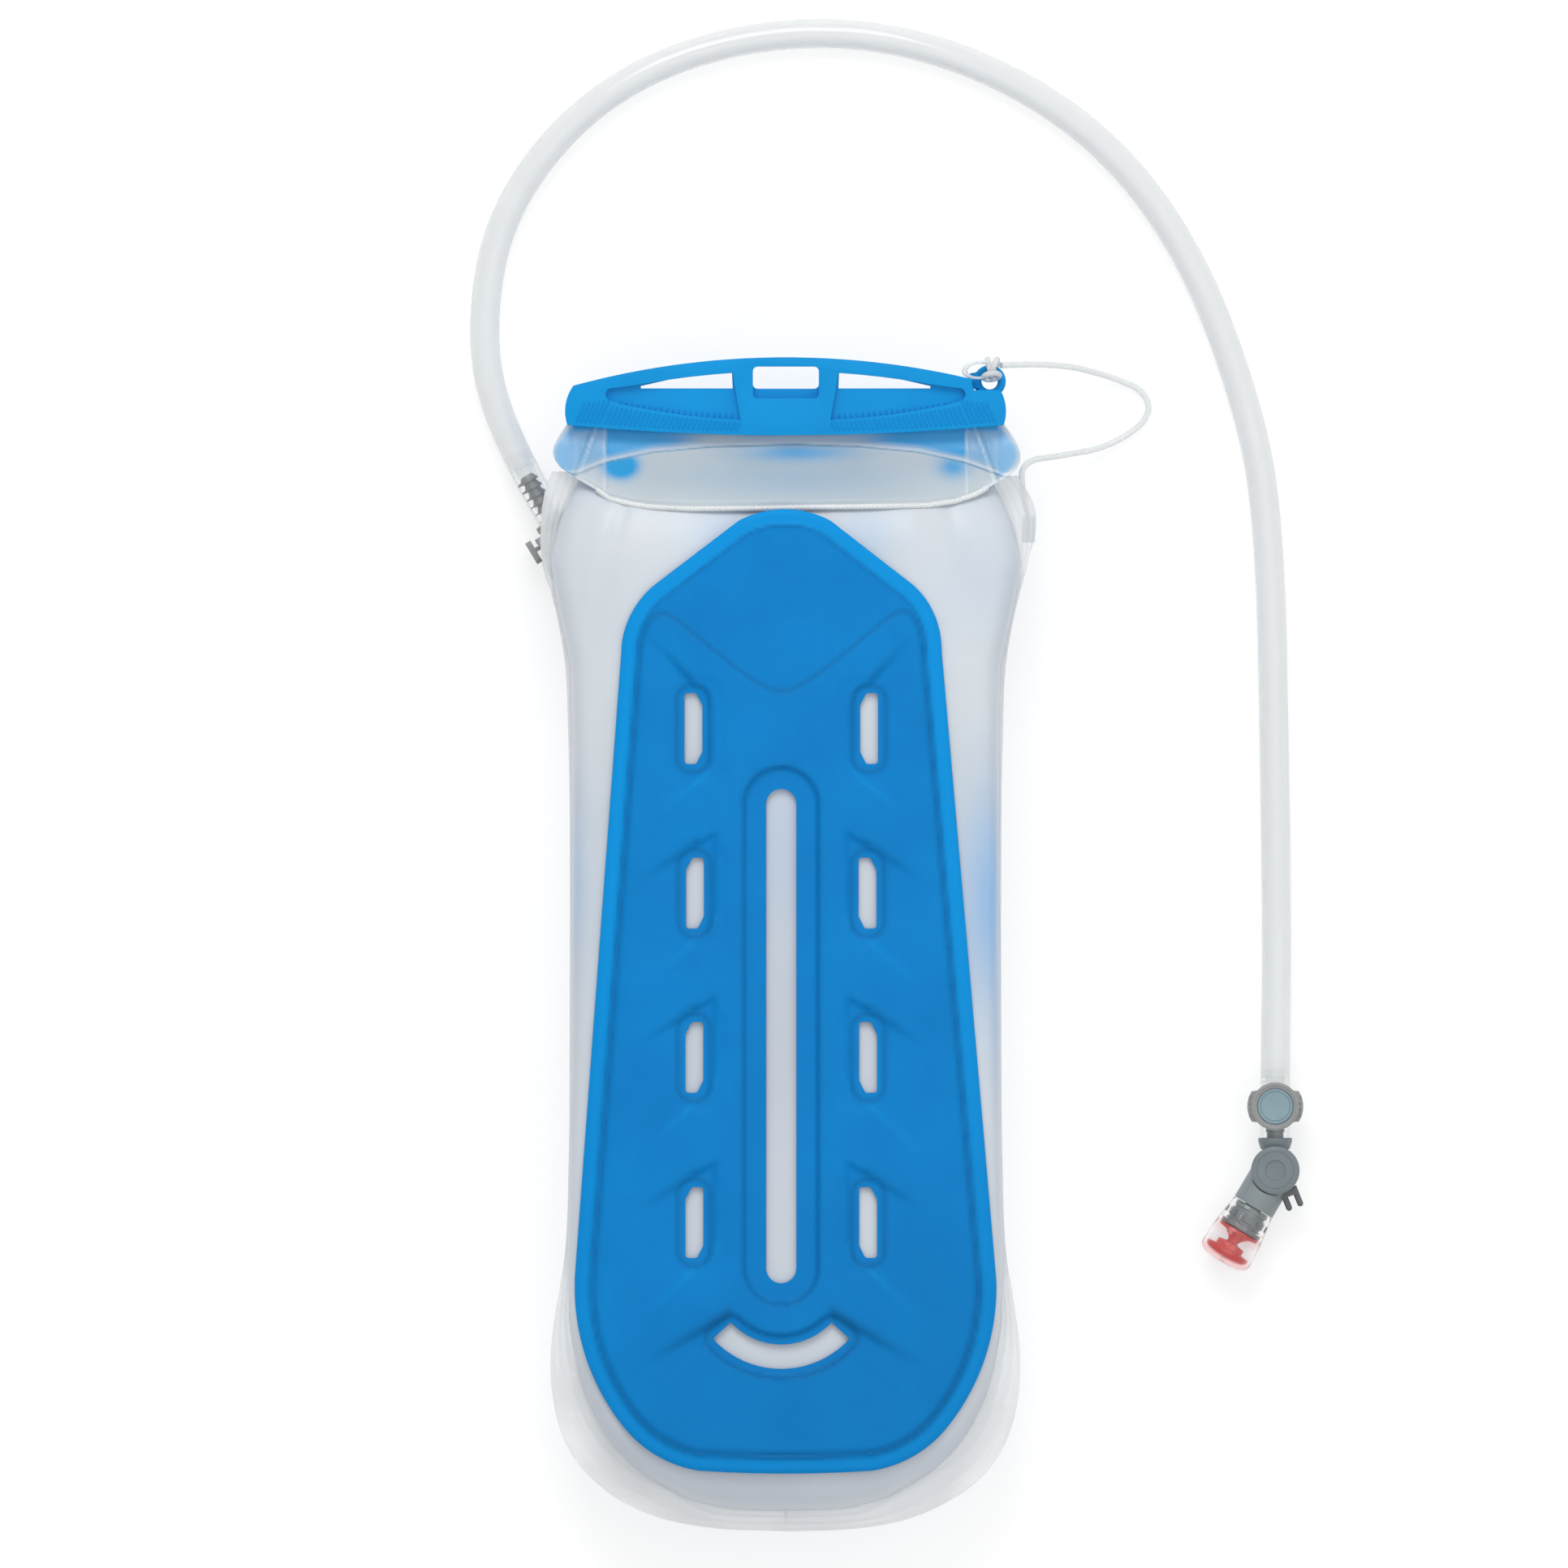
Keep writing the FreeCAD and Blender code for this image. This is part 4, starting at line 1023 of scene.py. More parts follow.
def makeBag(settings):
    bpy.ops.mesh.primitive_cylinder_add(vertices=settings["around"], end_fill_type="NOTHING", radius=1, depth=1)
    bag = named("filmBag")
    onlyActive(bag)
    bpy.ops.object.mode_set(mode="EDIT")
    bpy.ops.mesh.select_all(action="DESELECT")
    mesh = bmesh.from_edit_mesh(bag.data)
    for edge in mesh.edges:
        edge.select_set(abs(edge.verts[0].co.z - edge.verts[1].co.z) > 0.5)
    bmesh.update_edit_mesh(bag.data)
    bpy.ops.mesh.subdivide(number_cuts=settings["along"])
    bpy.ops.object.mode_set(mode="OBJECT")
    raw = meshPoints(bag) * mm
    t = raw[:, 2] + 0.5
    angle = np.arctan2(raw[:, 1], raw[:, 0])
    # rings stand closer together near the two ends
    low, high = settings["bottom"], 167.5
    y = -np.cos(np.pi * (0.04 + 0.92 * t))
    y = low + (high - low) * (y - y.min()) / (y.max() - y.min())
    x, z = bagSurface(y, angle, settings)
    # soft wrinkles where the film is gathered at its shoulders, throat and bottom corners
    co = np.stack([x, y, z], 1)
    broad = grain(co * (1.0, 0.45, 1.0), 17.0, 3.0)
    fine = grain(co * (1.0, 0.6, 1.0), 6.5, 9.0)
    ends = step((y - 96.0) / 34.0) * (1 - step((y - 148.0) / 5.0)) + 0.7 * step((-128.0 - y) / 34.0)
    sides = step((np.abs(x) - 58.0) / 10.0)
    push = settings["wrinkle"] * (broad * (0.5 + 1.6 * ends) + 0.5 * fine * ends * (0.4 + sides))
    fan = np.abs(x) - 0.30 * (150.0 - y)
    fold = bell(fan - 50.0, 2.2) * step((y - 104.0) / 20.0) * step((149.0 - y) / 8.0)
    push = push - 0.9 * fold
    z = np.where(np.sin(angle) > 0.05, z + push, z)
    free = np.where((np.abs(np.sin(angle)) < 0.5) & (y < 145), 1.0, 0.0)
    x = x * (1 + 0.006 * broad * free)
    # the weld of the web shows as a long capsule through the middle slot
    ridge = boxDistance(x + 1.2, y + 39.5, 3.6, 67.0, 3.5)
    z = np.where(np.sin(angle) > 0, z + 0.35 * bell(ridge, 0.5), z)
    movePoints(bag, np.stack([x, y, z], 1))
    editAll(bag, lambda: bpy.ops.mesh.fill_holes(sides=0), faceOutward)
    x, y, z = meshPoints(bag).T
    top = z > settings["seam"]
    # painted blue light from the plate and the closure, scattered in the film
    paintedBlueLight = spots(x, y, settings["paintedBlueLightSpots"]) + 0.45 * step((y - 148.0) / 20.0)
    # painted shade: darker and cooler towards the film's edges, its bottom, its middle line under the slot and
    # its underside
    coolShade = step((np.abs(x) / bagHalf(y) - 0.90) / 0.10) * 0.3 + step((-120.0 - y) / 60.0) * 0.3
    coolShade += 0.35 * spot(x, y, -2.0, -40.0, 7.0, 80.0)
    paint(bag, "paintedBlueLight", np.where(top, paintedBlueLight, 0.12))
    paint(bag, "coolShade", np.where(top, coolShade, 0.5))
    smooth(bag, 70)
    return bag


def flangeOuter(side):
    # half of the welded edge, from the middle of the bottom to the shoulder
    half = [(0.0, -190.7), (22.0, -190.2), (40.0, -187.0), (53.5, -181.0), (62.0, -175.0), (68.6, -167.5),
            (72.8, -159.5), (75.3, -150.0), (76.6, -138.0), (75.8, -127.0), (74.2, -116.5), (72.2, -106.0),
            (70.9, -92.0), (70.2, -60.0), (70.0, 0.0), (70.1, 50.0), (71.2, 90.0), (74.6, 109.0),
            (78.0, 121.0)]
    if side > 0:
        return half + [(80.6, 131.0), (82.4, 138.6), (79.6, 146.5), (75.2, 152.0)]
    # the left shoulder is folded round the connector
    return half + [(79.9, 125.5), (79.8, 131.0), (79.4, 137.5), (79.1, 144.0), (78.3, 148.6), (75.8, 153.4)]


def makeFlange(settings, side):
    outer = np.array([(x * side, y) for x, y in flangeOuter(side)])
    run = np.concatenate([[0], np.cumsum(np.hypot(*np.diff(outer, axis=0).T))])

    # the edge's corners are rounded over about 2 cm
    dense = np.linspace(0, run[-1], 600)
    even = np.ones(25) / 25
    soft = [np.convolve(np.pad(np.interp(dense, run, outer[:, k]), 12, mode="reflect", reflect_type="odd"), even,
                        "valid") for k in (0, 1)]

    def place(u, v):
        ox, oy = (np.interp(u * run[-1], dense, line) for line in soft)
        shoulder = step((oy - 96.0) / 24.0)
        ix = side * np.minimum(np.abs(ox) - 0.4, bagHalf(np.clip(oy, -182.0, 152.0)) - 1.5)
        low = step((-118.0 - oy) / 40.0)
        ix = ix * (1 - 0.07 * low)
        iy = oy + 9.0 * step((-150.0 - oy) / 34.0)
        x = ox * v + ix * (1 - v)
        y = oy * v + iy * (1 - v)
        wide = np.hypot(ox - ix, oy - iy)
        z = np.full_like(x, settings["seam"])
        for line in settings["flangeLines"]:
            z += 0.34 * bell((v - line) * np.maximum(wide, 2.0), 0.55) * (wide > 3.5)
        wave = waves(x, y, 21.0, 21.0, 4.0 * side)
        z += wave * 1.7 * v * step((wide - 2.0) / 5.0) * (1 + 1.2 * shoulder)
        if side < 0:
            z += 1.6 * waves(x, y, 5.0, 9.0, 7.0) * shoulder * np.sin(np.pi * v)
        for dx, dy in settings["weldDots"]:
            z += 0.7 * bell((x - dx) ** 2 + (y - dy) ** 2, 1.1)
        bead = bell((1 - v) * np.maximum(wide, 2.0), 0.7)
        return x, y, z + 0.25 * bead

    flange = sheetGrid("weldedEdge" + ("Right" if side > 0 else "Left"), 260, 26, place)
    addWall(flange, settings["flangeWall"])
    paint(flange, "lines", (meshPoints(flange)[:, 2] - settings["seam"] - 0.55) / 0.5)
    smooth(flange, 60)
    return flange


def filmMaterial(name, dark, light, transmission, alpha=1.0):
    # milky film, whose thickness varies
    material, tree, shader, where = plainMaterial(name, {
        "IOR": 1.38, "Transmission Weight": transmission, "Alpha": alpha, "Specular IOR Level": 0.4,
        "Coat Weight": 0.12, "Coat Roughness": 0.2})
    surface = grained(tree, where, 3200.0, 14.0)
    colour = ramp(tree, surface["Mottle"], [(0.35, dark), (0.65, light)])
    colour = mixColour(tree, mathNode(tree, "MULTIPLY", surface["Speckle"], 0.10), colour, dark)
    tree.links.new(colour, shader.inputs["Base Color"])
    rough(tree, shader, surface["Mottle"], 0.24, 0.46)
    bump(tree, shader, surface["Mottle"], 0.25, 0.5)
    return material


milkyFilm = filmMaterial("milkyFilm", (0.555, 0.595, 0.63), (0.635, 0.67, 0.70), 0.0)
# painted shade, darker and cooler towards the edges, bottom and underside
overlay(milkyFilm, "coolShade", (0.42, 0.455, 0.54))
# painted blue light scattered in the film
overlay(milkyFilm, "paintedBlueLight", (0.20, 0.42, 0.72))
weldFilm = filmMaterial("weldedFilm", (0.82, 0.84, 0.85), (0.90, 0.91, 0.92), 0.35, 0.72)
overlay(weldFilm, "lines", (0.95, 0.96, 0.96), 0.8)
filmBag = makeBag(bagSettings)
finishPiece(filmBag, "reservoir", "film", milkyFilm, "bag_back_panel", "bag_front_panel", "baffle_web")
for side in (1, -1):
    finishPiece(makeFlange(bagSettings, side), "reservoir", "film", weldFilm)
print("film bag made", len(filmBag.data.polygons))


# folded mouth

flapSettings = {
    "topY": 169.0,
    "topHalf": 70.5,
    "leftCorner": -67.4,
    "rightCorner": 71.8,
    "lowHeight": 31.6,
    "highHeight": 48.6,
    "bead": 1.9,
    "wall": 0.7,
    "weldX": 58.8,
    # lower edge, where the line of the second film runs, and the outline of the two ears
    "edge": [(-68.0, 151.4), (-61.5, 147.6), (-57.0, 144.2), (-49.6, 142.4), (-44.4, 141.6), (-31.2, 140.9),
             (-10.0, 141.0), (0.0, 141.2), (45.5, 142.0), (55.0, 143.4), (62.0, 145.8), (68.0, 149.6),
             (71.8, 151.6)],
    "lowSpots": [(0.70, 4.0, 159.8, 17.0, 2.8), (0.8, 54.5, 155.0, 5.0, 3.6)],
    "line": [(-68.0, 152.8), (-58.1, 156.7), (-43.0, 160.0), (-23.8, 161.8), (3.2, 162.5), (23.8, 161.8),
             (43.0, 160.0), (58.1, 156.7), (71.0, 152.0)],
    "ears": [(151.0, 0.0), (152.2, 1.1), (153.6, 3.3), (155.2, 5.2), (157.3, 6.4), (159.5, 6.7), (162.0, 5.9),
             (164.5, 4.1), (167.0, 2.1), (169.0, 0.3)],
}


def flapPlace(u, v, settings):
    s = 2 * u - 1
    left = -settings["topHalf"] * (1 - v) + settings["leftCorner"] * v
    right = settings["topHalf"] * (1 - v) + settings["rightCorner"] * v
    x = left + (right - left) * u
    y = settings["topY"] + (along(settings["edge"], x) - settings["topY"]) * v
    out = along(settings["ears"], y)
    x = x - out * np.clip(1 - u / 0.09, 0, 1) + 0.75 * out * np.clip(1 - (1 - u) / 0.09, 0, 1)
    # the film comes out of the channel level and then climbs the bag
    climb = step((v - 0.16) / 1.1) * 1.32
    z = settings["lowHeight"] + (settings["highHeight"] - settings["lowHeight"]) * np.minimum(climb, 1.0) * (
        1 - 0.52 * np.abs(s) ** 3)
    return x, y, z


def flapCrease(x, y):
    # distance past the slanting crease at each end
    return np.abs(x) - 67.4 + 0.357 * (y - 151.3)


def earEdge(x, y, settings):
    return np.abs(x) - 70.5 - along(settings["ears"], y)


def makeFlap(settings):
    def place(u, v):
        x, y, z = flapPlace(u, v, settings)
        weld = bell(np.abs(x) - settings["weldX"], 0.45)
        crease = flapCrease(x, y)
        fold = bell(crease, 0.9) - 0.7 * bell(crease - 2.4, 1.1)
        second = bell(y - along(settings["line"], x), 0.45)
        ear = step((np.abs(x) - 66.0) / 6.0)
        rim = bell(earEdge(x, y, settings), 0.9)
        wave = waves(x, y, 15.0, 11.0, 2.0)
        z = z + 0.3 * weld + 0.55 * fold * step((v - 0.05) / 0.2) + 0.3 * second + 0.5 * ear * rim
        return x, y, z + 0.55 * wave * step(v / 0.2) * step((1.02 - v) / 0.15)

    flap = sheetGrid("mouthFlap", 300, 66, place)
    addWall(flap, settings["wall"])
    x, y, z = meshPoints(flap).T
    line = along(settings["line"], x)
    inner = step((settings["weldX"] - np.abs(x)) / 1.2)
    earLine = earEdge(x, y, settings)
    crease = flapCrease(x, y)
    # painted blue light: the blue of the closure's rear wall painted where it shows through, sharper where the
    # films lie on it, and a bluish tint painted on the ears
    shown = 0.30 + 0.70 * step((np.abs(x) - 16.0) / 22.0)
    paintedBlueLight = (0.95 * inner + 0.55 * (1 - inner)) * step((y - line + 0.5) / 3.5) * shown
    paintedBlueLight += 0.55 * step((y - 165.6) / 2.6)
    paintedBlueLight -= 0.4 * spot(x, y, -26.0, 164.0, 9.0, 1.8)
    paintedBlueLight += 0.95 * step(1.6 * spot(x, y, -53.5, 155.4, 5.6, 4.2)) * (y < line)
    paintedBlueLight += spots(x, y, settings["lowSpots"]) * (y < line)
    paintedBlueLight += 0.22 * spot(x, y, 4.0, 151.0, 40.0, 7.0)
    paintedBlueLight = np.where(np.abs(x) > 69.0, 0.62 * step((-earLine - 0.8) / 2.2) + 0.04, paintedBlueLight)
    # weld lines, with painted highlights along the second film's edge, the folds, the ears' rims and the lower
    # edge
    lines = 0.5 * bell(np.abs(x) - settings["weldX"], 0.36)
    lines += 0.6 * bell(y - line - 0.6, 0.4)
    lines += 0.6 * bell(crease, 0.36) + 0.8 * bell(earLine, 0.7) * (np.abs(x) > 69.0)
    lines += 0.7 * step((along(settings["edge"], x) + 1.6 - y) / 1.2)
    # painted shade along the second film's edge and beside the folds
    dark = bell(y - line + 0.25, 0.30) * 0.85 + 0.6 * bell(crease - 1.5, 0.45)
    dark = np.where(y > line + 2, dark * 0.4, dark)
    # painted blue light, weld lines with painted highlights, and painted shade
    for name, values in (("paintedBlueLight", paintedBlueLight), ("lines", lines), ("dark", dark)):
        paint(flap, name, values)
    smooth(flap, 60)
    return flap


def makeBead(settings):
    u = np.linspace(0.045, 0.955, 60)
    route = list(zip(*flapPlace(u, np.full_like(u, 0.985), settings)))
    return sweptTube(newCurve("flapBead", "POLY", [route]), settings["bead"], 4, True, 60)


clearFilm = filmMaterial("clearFilm", (0.58, 0.64, 0.67), (0.66, 0.72, 0.75), 0.1, 0.8)
# weld lines with painted highlights, painted blue light, and painted shade
overlay(clearFilm, "lines", (0.90, 0.94, 0.96), 0.8)
overlay(clearFilm, "paintedBlueLight", (0.015, 0.40, 0.80))
overlay(clearFilm, "dark", (0.03, 0.24, 0.42))
overlay(clearFilm, "lines", (0.88, 0.93, 0.96), 0.6)
mouthFlap = makeFlap(flapSettings)
finishPiece(mouthFlap, "reservoir", "film", clearFilm, "mouth_fold")
beadFilm, beadTree, beadShader, beadWhere = plainMaterial("beadFilm", {
    "IOR": 1.4, "Transmission Weight": 0.25, "Specular IOR Level": 0.5})
beadGrain = grained(beadTree, beadWhere, 3000.0, 60.0)
mottled(beadTree, beadShader, beadGrain, (0.84, 0.87, 0.88), (0.93, 0.95, 0.95))
rough(beadTree, beadShader, beadGrain["Speckle"], 0.2, 0.35)
finishPiece(makeBead(flapSettings), "reservoir", "film", beadFilm)
print("mouth made")


# slide closure

closureSettings = {
    "half": 71.5,
    "back": 23.0,
    "front": 37.0,
    "troughDepth": 2.6,
    "bar": 4.5,
    "ledgeDepth": 4.5,
    "edge": 0.55,
    "eyelet": (66.3, 182.8),
    "eyeletOuter": 5.0,
    "eyeletHole": 2.9,
    "gripStep": 1.55,
    "low": 165.2,               # lowest and highest point of its face, on the middle line
    "high": 190.6,
    "lowCorner": 168.6,         # heights of the two corners at an end
    "shoulder": 181.4,
    "shoulderIn": 2.6,
    # the three tabs on the rear wall: middle, half width and lower edge
    "tabs": ((-51.0, 7.0, 153.0), (-3.5, 14.5, 156.8), (54.5, 7.0, 153.0)),
}


def closureOutline(settings):
    outer = settings["half"]
    middle = (outer, (settings["lowCorner"] + settings["shoulder"]) / 2)
    corner = (outer - 0.6, settings["lowCorner"])
    shoulder = (outer - settings["shoulderIn"], settings["shoulder"])
    farMiddle, farCorner, farShoulder = ((-x, y) for x, y in (middle, corner, shoulder))
    loop = arcThrough(farCorner, (0.0, settings["low"]), corner, 60)
    loop += arcThrough(corner, middle, shoulder, 8)[1:]
    loop += arcThrough(shoulder, (0.0, settings["high"]), farShoulder, 60)[1:]
    loop += arcThrough(farShoulder, farMiddle, farCorner, 8)[1:-1]
    return loop


def barEdge(xs, settings):
    # the lower edge of the bar that runs over the closure's openings
    chord, rise = settings["half"] - settings["shoulderIn"], settings["high"] - settings["shoulder"]
    radius = (chord * chord + rise * rise) / (2 * rise)
    return [(x, settings["high"] - radius + math.sqrt(radius * radius - x * x) - settings["bar"]) for x in xs]


def makeClosure(settings):
    half, back, front = settings["half"], settings["back"], settings["front"]
    closure = slab("slideClosure", [closureOutline(settings)], back, front)
    rear = block("rear", (-half + 1, 161.5, back), (half - 1, 171.0, 26.8))
    cutWith(closure, rear, "UNION")
    for x, wide, y in settings["tabs"]:
        corners = [(x - wide, 162.5), (x - wide, y), (x + wide, y), (x + wide, 162.5)]
        cutWith(closure, slab("tab", [roundedLoop(corners, 2.2)], back, 26.79), "UNION")
    cutWith(closure, block("channel", (-half - 5, 167.2, 26.8), (half - 4.5, 177.0, 33.2)))
    cutWith(closure, block("mouth", (-half - 5, 150.0, 26.81), (half + 5, 169.6, 32.2)))
    window = [(-10.6, 180.4), (10.8, 180.4), (10.8, 187.6), (-10.6, 187.6)]
    ledge = [(-10.6, 177.2), (10.8, 177.2), (10.8, 187.6), (-10.6, 187.6)]
    cutWith(closure, slab("window", [roundedLoop(window, 1.5)], back - 1, front + 1))
    cutWith(closure, slab("ledge", [roundedLoop(ledge, 1.5)], front - settings["ledgeDepth"], front + 1))
    for side in (-1, 1):
        def face(points):
            return [(side * x, y) for x, y in points]
        bar = barEdge((17.4, 24.0, 31.0, 38.0), settings)
        opening = face([(17.2, 180.5)] + bar + [(47.0, 181.3), (47.0, 180.5)])
        lower = [(14.6, 170.2), (24.0, 170.7), (34.0, 171.9), (44.0, 173.5), (52.0, 175.0), (56.6, 176.4)]
        end = arcThrough((56.6, 176.4), (58.5, 178.6), (56.0, 180.6), 6)[1:]
        upper = [(50.0, 181.4)] + barEdge((38.0, 31.0, 24.0, 17.2), settings)
        trough = face(lower + end + upper)
        cutWith(closure, slab("trough", [trough], front - settings["troughDepth"], front + 1))
        cutWith(closure, slab("opening", [opening], back - 1, front + 1))
    ex, ey = settings["eyelet"]
    room = drum("room", settings["eyeletOuter"] + 0.8, back - 1, front + 1, 48)
    placeAt(room, (ex, ey, 0))
    keep = block("keep", (50.0, ey - settings["eyeletHole"], back - 2), (90.0, 200.0, front + 2))
    cutWith(room, keep, "INTERSECT")
    cutWith(closure, room)
    tidyMesh(closure)
    bevelEdges(closure, settings["edge"], 3, 32)
    ring = torus("eyelet", (settings["eyeletOuter"] + settings["eyeletHole"]) / 2, 1.35, 48, 14, (ex, ey, 30.0))
    horn = slab("horn", [roundedLoop([(ex - 9.5, ey - 2.5), (ex - 3.4, ey - 2.5), (ex - 3.4, ey + 3.2),
                                      (ex - 6.4, ey + 2.6)], 0.7)], 28.2, 31.8)
    bevelEdges(horn, 0.4, 2, 30)
    smooth(ring, 60)
    closure = joined([closure, ring, horn], "slideClosure")
    smooth(closure, 38)
    return closure


def makeGrip(settings):
    # leaning ridges on both ends of the closure and short ticks along its troughs
    ridge = block("ridge", (-0.34, -1.0, -0.25), (0.34, 1.0, 0.35))
    onlyActive(ridge)
    bpy.ops.object.mode_set(mode="EDIT")
    mesh = bmesh.from_edit_mesh(ridge.data)
    for face in mesh.faces:
        face.select_set(face.normal.z > 0.9)
    bmesh.update_edit_mesh(ridge.data)
    bpy.ops.transform.resize(value=(0.5, 0.9, 1), center_override=(0, 0, 0.35 * mm))
    bpy.ops.object.mode_set(mode="OBJECT")
    ridges = []
    half, front = settings["half"], settings["front"]

    def add(x, y, height, long, lean):
        copy = ridge.copy()
        copy.data = ridge.data.copy()
        bpy.context.scene.collection.objects.link(copy)
        copy.scale = (1, long / 2, 1)
        copy.rotation_euler = (0, 0, math.radians(lean))
        copy.location = (x * mm, y * mm, height * mm)
        ridges.append(copy)

    for side in (-1, 1):
        x = 15.5
        while x < half - 4.0:
            low = 166.4 + 3.2 * (x / half) ** 2
            high = 169.6 + 5.6 * max(0.0, (x - 12) / 46.0) ** 1.6 if x < 58 else 177.5 - (x - 58) * 0.15
            if high - low > 2.0:
                add(side * x, (low + high) / 2, front, high - low, 24 * side)
            x += settings["gripStep"]
        x = 17.5
        while x < 54.0:
            y = 171.0 + 0.6 + 4.4 * ((x - 14.6) / 42.0) ** 1.6
            add(side * x, y, front - settings["troughDepth"], 1.3, 8 * side)
            x += 1.9
    bpy.data.objects.remove(ridge)
    grip = joined(ridges, "closureGrip")
    placeInMesh(grip)
    return grip


closurePlastic = mouldedPlastic("blueClosurePlastic", (0.0, 0.262, 0.625), (0.0, 0.29, 0.68), 0.34, 0.48,
                                3600.0, 0.06, 0.2, **{"Specular IOR Level": 0.14})
slideClosure = makeClosure(closureSettings)
finishPiece(slideClosure, "closure", "closure", closurePlastic, "slide_closure")
finishPiece(makeGrip(closureSettings), "closure", "closure", closurePlastic)
print("slide closure made")


# tether hitch

hitchSettings = {
    "centre": (66.3, 182.8, 30.0),
    "cord": 0.92,
    # loops of the cord: place from the eyelet's centre, size, flatness and turn
    "loops": (((0.0, 4.1, 0.4), 4.0, 0.82, (0, 90, 12)), ((1.6, 4.3, 0.2), 3.9, 0.80, (0, 84, -16)),
              ((-3.4, 3.6, 4.4), 4.9, 0.52, (8, 14, 4)), ((0.6, 1.6, 3.4), 2.6, 0.9, (64, 20, 0))),
}


def makeHitch(settings):
    loops = [torus("hitchLoop", size, settings["cord"], 40, 12,
                   [c + p for c, p in zip(settings["centre"], place)], turn, flat)
             for place, size, flat, turn in settings["loops"]]
    hitch = joined(loops, "tetherHitch")
    tidyMesh(hitch)
    smooth(hitch, 60)
    return hitch


tetherHitch = makeHitch(hitchSettings)
finishPiece(tetherHitch, "closure", "cord", clearCord, "tether_knot")


# finishes of the small parts

# dark and light colour, roughness from and to, grain size and depth, scuffs, and the shader's other values
smallFinishes = {
    "greyValvePlastic": ((0.155, 0.185, 0.198), (0.20, 0.235, 0.25), 0.36, 0.52, 5200.0, 0.10, 0.3,
                         {"Specular IOR Level": 0.4}),
    "greyArmPlastic": ((0.20, 0.235, 0.245), (0.25, 0.285, 0.295), 0.34, 0.5, 5200.0, 0.10, 0.3,
                       {"Specular IOR Level": 0.4}),
    "warmGreyPlastic": ((0.27, 0.28, 0.275), (0.33, 0.335, 0.33), 0.34, 0.5, 5200.0, 0.10, 0.35,
                        {"Specular IOR Level": 0.4}),
    "palePortPlastic": ((0.32, 0.34, 0.35), (0.40, 0.42, 0.43), 0.38, 0.5, 4200.0, 0.08, 0.2,
                        {"Specular IOR Level": 0.4}),
    "darkLeverPlastic": ((0.10, 0.105, 0.115), (0.14, 0.145, 0.16), 0.30, 0.42, 6000.0, 0.06, 0.3,
                         {"Specular IOR Level": 0.5}),
    "tealDiscFinish": ((0.17, 0.27, 0.31), (0.235, 0.35, 0.39), 0.18, 0.30, 7000.0, 0.04, 0.4,
                       {"Specular IOR Level": 0.6, "Coat Weight": 0.5, "Coat Roughness": 0.08}),
    "sealRubber": ((0.012, 0.012, 0.013), (0.03, 0.03, 0.032), 0.5, 0.7, 6000.0, 0.2, 0.1, {}),
    "clearTabPlastic": ((0.62, 0.66, 0.68), (0.72, 0.75, 0.77), 0.3, 0.42, 4000.0, 0.06, 0.2, {}),
    "redSilicone": ((0.80, 0.028, 0.022), (0.92, 0.05, 0.04), 0.28, 0.4, 4500.0, 0.06, 0.0,
                    {"Subsurface Weight": 0.2, "Subsurface Scale": 0.002}),
}
(greyPlastic, armPlastic, ringPlastic, portPlastic, leverPlastic, discFinish, sealRubber, tabPlastic,
 coreRed) = [mouldedPlastic(name, *values[:-1], **values[-1]) for name, values in smallFinishes.items()]


def steelFinish(name, tint, low, high):
    # drawn wire and turned pin: fine rings along the piece
    material, tree, shader, where = plainMaterial(name, {"Metallic": 1.0})
    surface = grained(tree, where, 5000.0, 160.0)
    rings = tree.nodes.new("ShaderNodeTexWave")
    rings.inputs["Scale"].default_value = 900.0
    rings.inputs["Distortion"].default_value = 1.5
    tree.links.new(where, rings.inputs["Vector"])
    mottled(tree, shader, surface, tuple(c * 0.8 for c in tint), tint)
    rough(tree, shader, rings.outputs["Fac"], low, high)
    bump(tree, shader, rings.outputs["Fac"], 0.1, 0.02)
    return material


pinSteel = steelFinish("turnedSteel", (0.62, 0.62, 0.63), 0.2, 0.34)
magnetSteel = steelFinish("platedMagnet", (0.56, 0.56, 0.58), 0.24, 0.4)


def siliconeFinish(name, colour):
    # clear rubber with faint flow marks
    material, tree, shader, where = plainMaterial(name, {
        "IOR": 1.28, "Transmission Weight": 0.97, "Coat Weight": 0.3, "Coat Roughness": 0.06})
    surface = grained(tree, where, 3600.0, 190.0)
    mottled(tree, shader, surface, tuple(c * 0.95 for c in colour), colour)
    rough(tree, shader, surface["Mottle"], 0.04, 0.12)
    bump(tree, shader, surface["Mottle"], 0.12, 0.1)
    return material


clearSilicone = siliconeFinish("clearSilicone", (0.99, 0.985, 0.985))
# painted red light of the core showing through the clear sheath
overlay(clearSilicone, "paintedCoreRed", (0.95, 0.42, 0.40))


# quick connector

connectorSettings = {
    "place": (-75.9, 138.2, 8.0),
    "heading": 121.0,
    "bore": 1.8,
    "ribs": 6,
    "barb": 16.0,
    "barbRoot": 2.25,
    "barbRim": 3.155,
    "collar": 6.2,
    "collarWall": 2.5,
    "nose": 4.0,
    "noseLength": 11.5,
}


